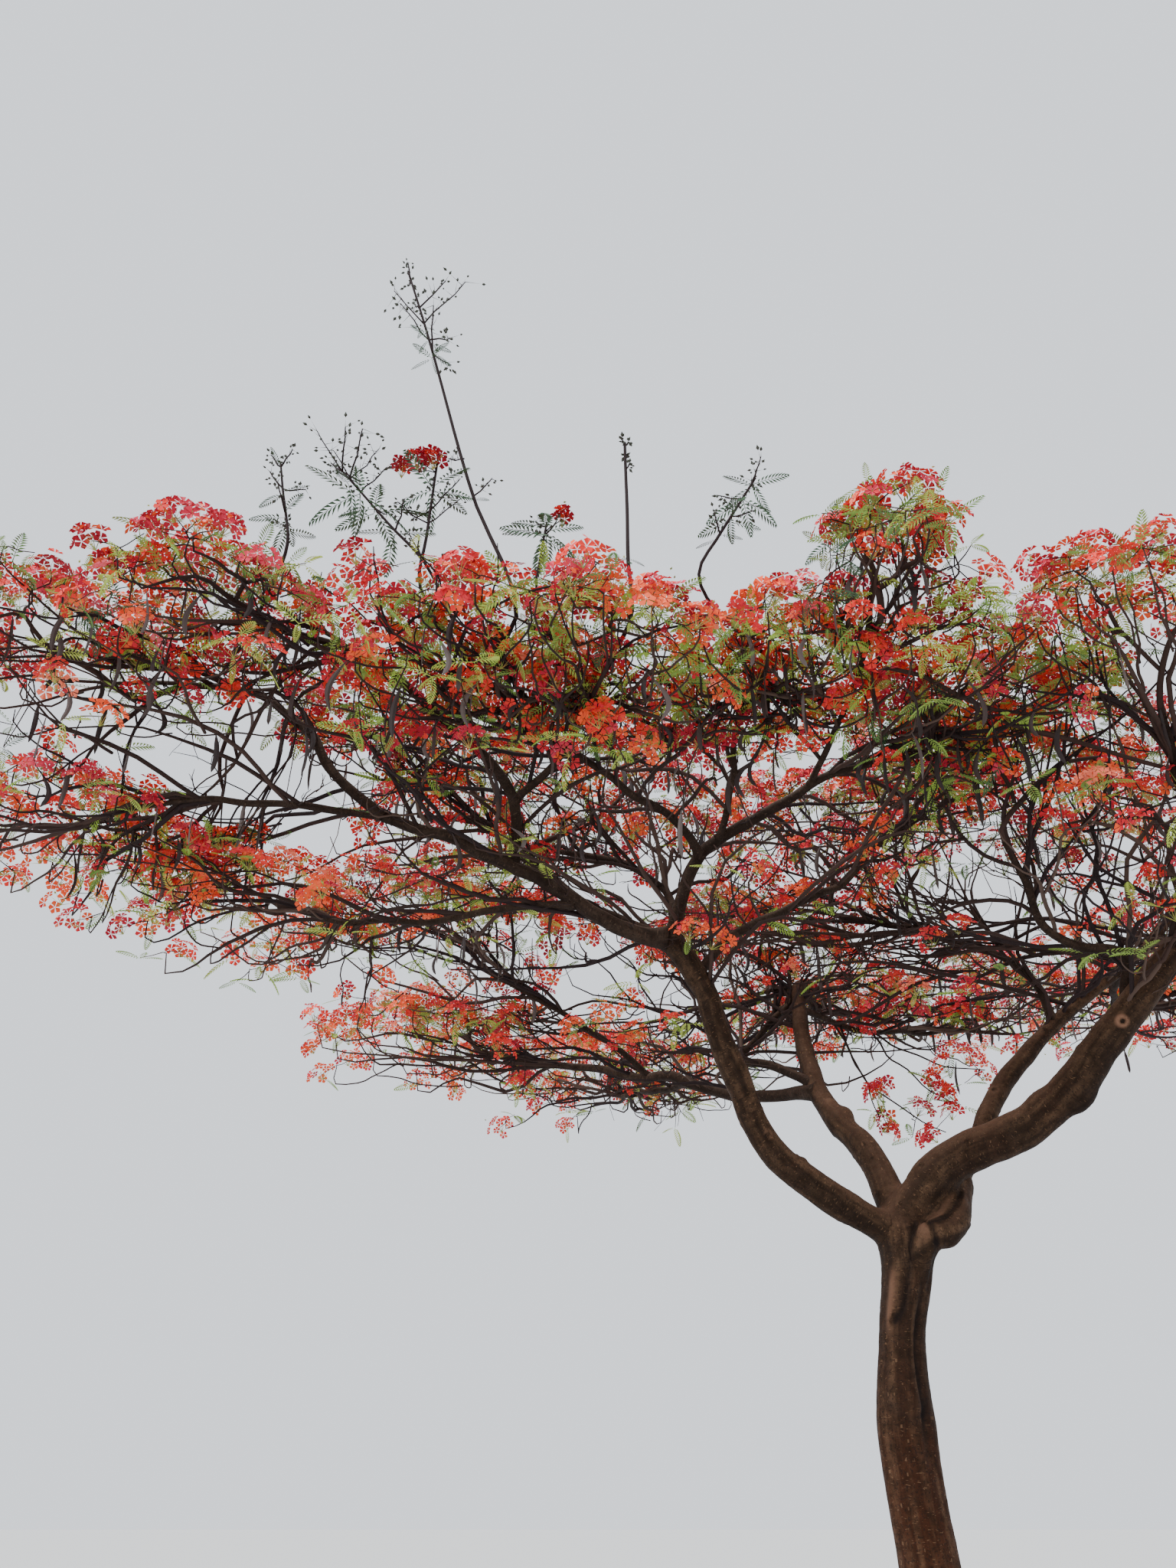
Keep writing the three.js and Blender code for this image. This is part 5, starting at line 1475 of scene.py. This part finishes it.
def make_blossom(name, crown, random):
    """Trusses: a low dome of flowers by the sunflower rule, facing outward."""
    rows = np.array(crown.trusses)
    centre, axis, tone, size = rows[:, :3], unit(rows[:, 3:6]), rows[:, 6].astype(int), rows[:, 7]
    each, wide, high = TRUSS["flowers"], TRUSS["wide"], TRUSS["high"]
    index = np.arange(each)
    polar = cap_angle(index, each, TRUSS["spread"])
    turn = index * SUNFLOWER_TURN + random.uniform(0, 2 * math.pi, (len(rows), 1))
    out = wide * size[:, None] * random.uniform(0.86, 1.14, (len(rows), each))
    up = np.cos(polar) * high * random.uniform(0.7, 1.3, (len(rows), each))
    local = np.stack([up, np.sin(polar) * np.cos(turn) * out, np.sin(polar) * np.sin(turn) * out], -1)
    frames = frames_along(axis, np.zeros(len(rows)))
    spots = (centre[:, None] + np.einsum("nfi,nij->nfj", local, frames)).reshape(-1, 3)
    aim = unit(unit(local / [high, wide, wide]) + [0.7, 0, 0] + random.normal(size=local.shape) * 0.32)
    aim = np.einsum("nfi,nij->nfj", aim, frames).reshape(-1, 3)
    count = len(spots)
    shape, faces = flower_shape()
    grow = random.uniform(0.84, 1.14, count)
    sizes = np.stack([grow * random.uniform(-0.2, 1.9, count), grow, grow], -1)
    rolled = frames_along(aim, random.uniform(0, 2 * math.pi, count))
    petals, petal_faces = copies(shape, faces, spots, rolled, sizes)
    own = mostly(np.repeat(tone, each), 0.8, random)
    own = mostly(np.repeat(own, FLOWER["petals"]), 0.88, random)
    return mesh_piece(name, petals, petal_faces, PETALS, np.repeat(own, 2), smooth=False), centre, axis, spots


def mostly(tones, share, random):
    """The tones, where this share of them stays and the others become any of the low tones."""
    stays = random.random(len(tones)) < share
    return np.where(stays, tones, random.choice(len(PETALS), len(tones), p=LOW_TONES))


def make_stalks(name, crown, centre, axis, spots, random):
    """Stalks of the flowers and their closed buds, and the buds of the shoots."""
    spike, spike_faces = spike_shape()
    bud, bud_faces = bud_shape()
    parts, shades = [], []

    def add(shape, faces, start, way, thick, shares):
        """Copies of a shape from their starts along their ways, each with its own thickness."""
        sizes = np.stack([np.linalg.norm(way, axis=1), thick, thick], -1)
        parts.append(copies(shape, faces, start, frames_along(unit(way), np.zeros(len(way))), sizes))
        shades.append(np.repeat(random.choice(len(STALKS), len(way), p=shares), len(faces)))

    def add_buds(start, way, grow, shares):
        """Buds of their own sizes."""
        add(bud, bud_faces, start, way * BUD["length"] * grow[:, None], BUD["half"] * grow, shares)

    foot = np.repeat(centre - axis * TRUSS["foot"], TRUSS["flowers"], axis=0)
    add(spike, spike_faces, foot, spots - foot, np.full(len(foot), TRUSS["stalk"]), FLOWER_STALK_SHARES)
    place = np.repeat(centre + axis * TRUSS["bud_height"], TRUSS["buds"], axis=0)
    place = place + random.normal(size=place.shape) * TRUSS["bud_spread"]
    out = unit(np.repeat(axis, TRUSS["buds"], axis=0) + random.normal(size=place.shape) * 0.6)
    add_buds(place, out, random.uniform(0.8, 1.3, len(place)), BUD_SHARES)
    if crown.buds:
        rows = np.array(crown.buds)
        start, end, grow = rows[:, :3], rows[:, 3:6], rows[:, 6]
        add(spike, spike_faces, start, end - start, np.full(len(rows), BUD["stalk"]), SHOOT_SHARES)
        add_buds(end, unit(end - start), grow, SHOOT_SHARES)
    return mesh_piece(name, *joined(parts), STALKS, np.concatenate(shades), smooth=False)


def make_leaves(name, crown, random):
    """Feathery leaves: copies of one leaf, each with its own heading, rise, size, roll and droop."""
    rows = np.array(crown.leaves)
    count, size = len(rows), rows[:, 5]
    shape, faces = leaf_shape()
    broad = size * random.uniform(0.85, 1.15, count)
    droop = size * random.uniform(0.3, 1.7, count)
    frames = frames_along(toward(rows[:, 3], rows[:, 4]), random.normal(size=count) * 0.3)
    corners, index = copies(shape, faces, rows[:, :3], frames, np.stack([size, broad, droop], -1))
    shades = np.repeat(rows[:, 6].astype(int), len(faces))
    return mesh_piece(name, corners, index, LEAVES, shades, smooth=False)


def make_pods(name, crown, random):
    """Pods: a flat lens-shaped section carried down a curve that bends sideways, with a short stalk."""
    rows = np.array(crown.pods)
    steps, half, thick = POD["steps"], POD["half"], POD["thick"]
    share = np.linspace(0, 1, steps + 1)
    out, flat = toward(rows[:, 3], 0 * rows[:, 3]), toward(rows[:, 3] + 90, 0 * rows[:, 3])
    length, bend = POD["length"] * rows[:, 4], rows[:, 5:6]
    drop = length[:, None] * share * (1 - 0.12 * np.abs(bend) * share)
    side = POD["bow"] * bend * np.sin(share * math.pi * 0.92) + POD["hook"] * bend * share ** 2
    path = rows[:, None, :3] + out[:, None] * side[..., None] - np.array([0, 0, 1.0]) * drop[..., None]
    marks = [0, 0.09, 0.16, 0.5, 0.88, 1]
    widths = np.interp(share, marks, [3, 4, 17, half, half * 0.8, 3])
    depths = np.interp(share, marks, [3, 4, 5, thick, thick * 0.8, 2])
    twist = (random.normal(size=len(rows)) * 0.5)[:, None] * share
    cos, sin = np.cos(twist)[..., None], np.sin(twist)[..., None]
    broad, thin = out[:, None] * cos + flat[:, None] * sin, flat[:, None] * cos - out[:, None] * sin
    ring = np.array([[1, 0], [0, 1], [-1, 0], [0, -1]], float)
    corners = (path[:, :, None] + broad[:, :, None] * (widths[:, None] * ring[:, 0])[None, ..., None]
               + thin[:, :, None] * (depths[:, None] * ring[:, 1])[None, ..., None])
    faces = tube_faces(steps + 1, 4)[:, ::-1]
    index = (faces[None] + (np.arange(len(rows)) * (steps + 1) * 4)[:, None, None]).reshape(-1, 3)
    shades = np.repeat(rows[:, 6].astype(int), len(faces))
    return mesh_piece(name, corners.reshape(-1, 3), index, POD_SKINS, shades, smooth=False)


# The tree.

def settle(piece, nodes):
    """A piece rides on the tree's one body and stands for its nodes, which are hidden."""
    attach(piece, "root")
    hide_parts(*nodes)
    print(piece.name, len(piece.data.polygons), "triangles")


# The masses of each side of the crown, and the other limbs that bear a net there; then the seeds.
GROUPS = {"left": (range(0, 9), ["limb_left", "bough_left_high"]),
          "right": (range(9, 18), ["bough_right_high"]),
          "back": (range(18, 26), [])}
SEEDS = {"mass": 3000, "shoots": 5000, "net": 7000, "net_step": 10, "hanging": 9100}

settle(bark_skin(), ["trunk"] + SKIN_BOUGHS)
settle(limb_tubes(), [name for name in limbs if name not in SKIN_BOUGHS])
for group, (numbers, others) in GROUPS.items():
    crown = Crown()
    for number in numbers:
        random = np.random.default_rng(SEEDS["mass"] + number)
        grow_shoots(number, grow_main(number, crown, random), crown)
        grow_side_stems(number, crown, random)
        grow_net(MASSES[number][1], crown, random)
    for number, name in enumerate(others, SEEDS["net"] + SEEDS["net_step"] * numbers[0]):
        grow_net(name, crown, np.random.default_rng(number))
    if group == "back":
        grow_hanging(crown, np.random.default_rng(SEEDS["hanging"]))
    names = [MASSES[number][0] for number in numbers]
    random = np.random.default_rng(len(group))
    woods = [crown.twigs.build(random, TWIG_SWAY)]
    if crown.shoots.rows:
        woods.append(crown.shoots.build(random, SHOOT_SWAY))
    corners, faces = joined([wood[:2] for wood in woods])
    shades = np.concatenate([wood[2] for wood in woods])
    settle(mesh_piece("twigs_" + group, corners, faces, TWIG_BARK, shades), names)
    blossom, centre, axis, spots = make_blossom("blossom_" + group, crown, random)
    settle(blossom, names)
    settle(make_stalks("flower_stalks_" + group, crown, centre, axis, spots, random), names)
    settle(make_leaves("leaves_" + group, crown, random), names)
    settle(make_pods("pods_" + group, crown, random), names)
    print(group, "trusses", len(crown.trusses), "leaves", len(crown.leaves), "pods", len(crown.pods))


# Floor, light and camera.

FLOOR_HALF, FLOOR_DROP = 60000.0, 2


def floor_piece():
    """A wide, plain, pale floor, a little below the cut."""
    square = np.array([[-1, -1, 0], [1, -1, 0], [1, 1, 0], [-1, 1, 0]])
    corners = square * FLOOR_HALF - [0, 0, FLOOR_DROP]
    pale = finish("pale_floor", (0.56, 0.56, 0.55), 0.9, 0.2)
    return mesh_piece("floor", corners, np.array([[0, 1, 2], [0, 2, 3]]), [pale])


floor_piece()

SKY_COLOUR, SKY_STRENGTH = (0.80, 0.84, 0.90, 1), 1.5
world = bpy.data.worlds.new("pale_studio")
bpy.context.scene.world = world
world.use_nodes = True
sky = world.node_tree.nodes["Background"]
sky.inputs["Color"].default_value = SKY_COLOUR
sky.inputs["Strength"].default_value = SKY_STRENGTH

# Two broad soft lights: heading and height in the sky, strength, and how wide each is.
SOFT_LIGHTS = {"top_light": (-130, 62, 3.3, 34), "side_light": (-160, 24, 1.3, 26)}
for light_name, (heading, height, strength, width) in SOFT_LIGHTS.items():
    soft_light = bpy.data.lights.new(light_name, "SUN")
    soft_light.energy = strength
    soft_light.angle = math.radians(width)
    lamp = bpy.data.objects.new(light_name, soft_light)
    lamp.rotation_euler = (0, math.radians(90 - height), math.radians(heading))
    bpy.context.scene.collection.objects.link(lamp)

SENSOR_WIDTH, CLIP_END = 36, 500
camera_data = bpy.data.cameras.new("photograph")
camera_data.lens = LENS
camera_data.sensor_width = SENSOR_WIDTH
camera_data.clip_end = CLIP_END
camera = bpy.data.objects.new("photograph", camera_data)
camera.location = EYE
camera.rotation_euler = (math.radians(90 + TILT), 0, 0)
bpy.context.scene.collection.objects.link(camera)
bpy.context.scene.camera = camera
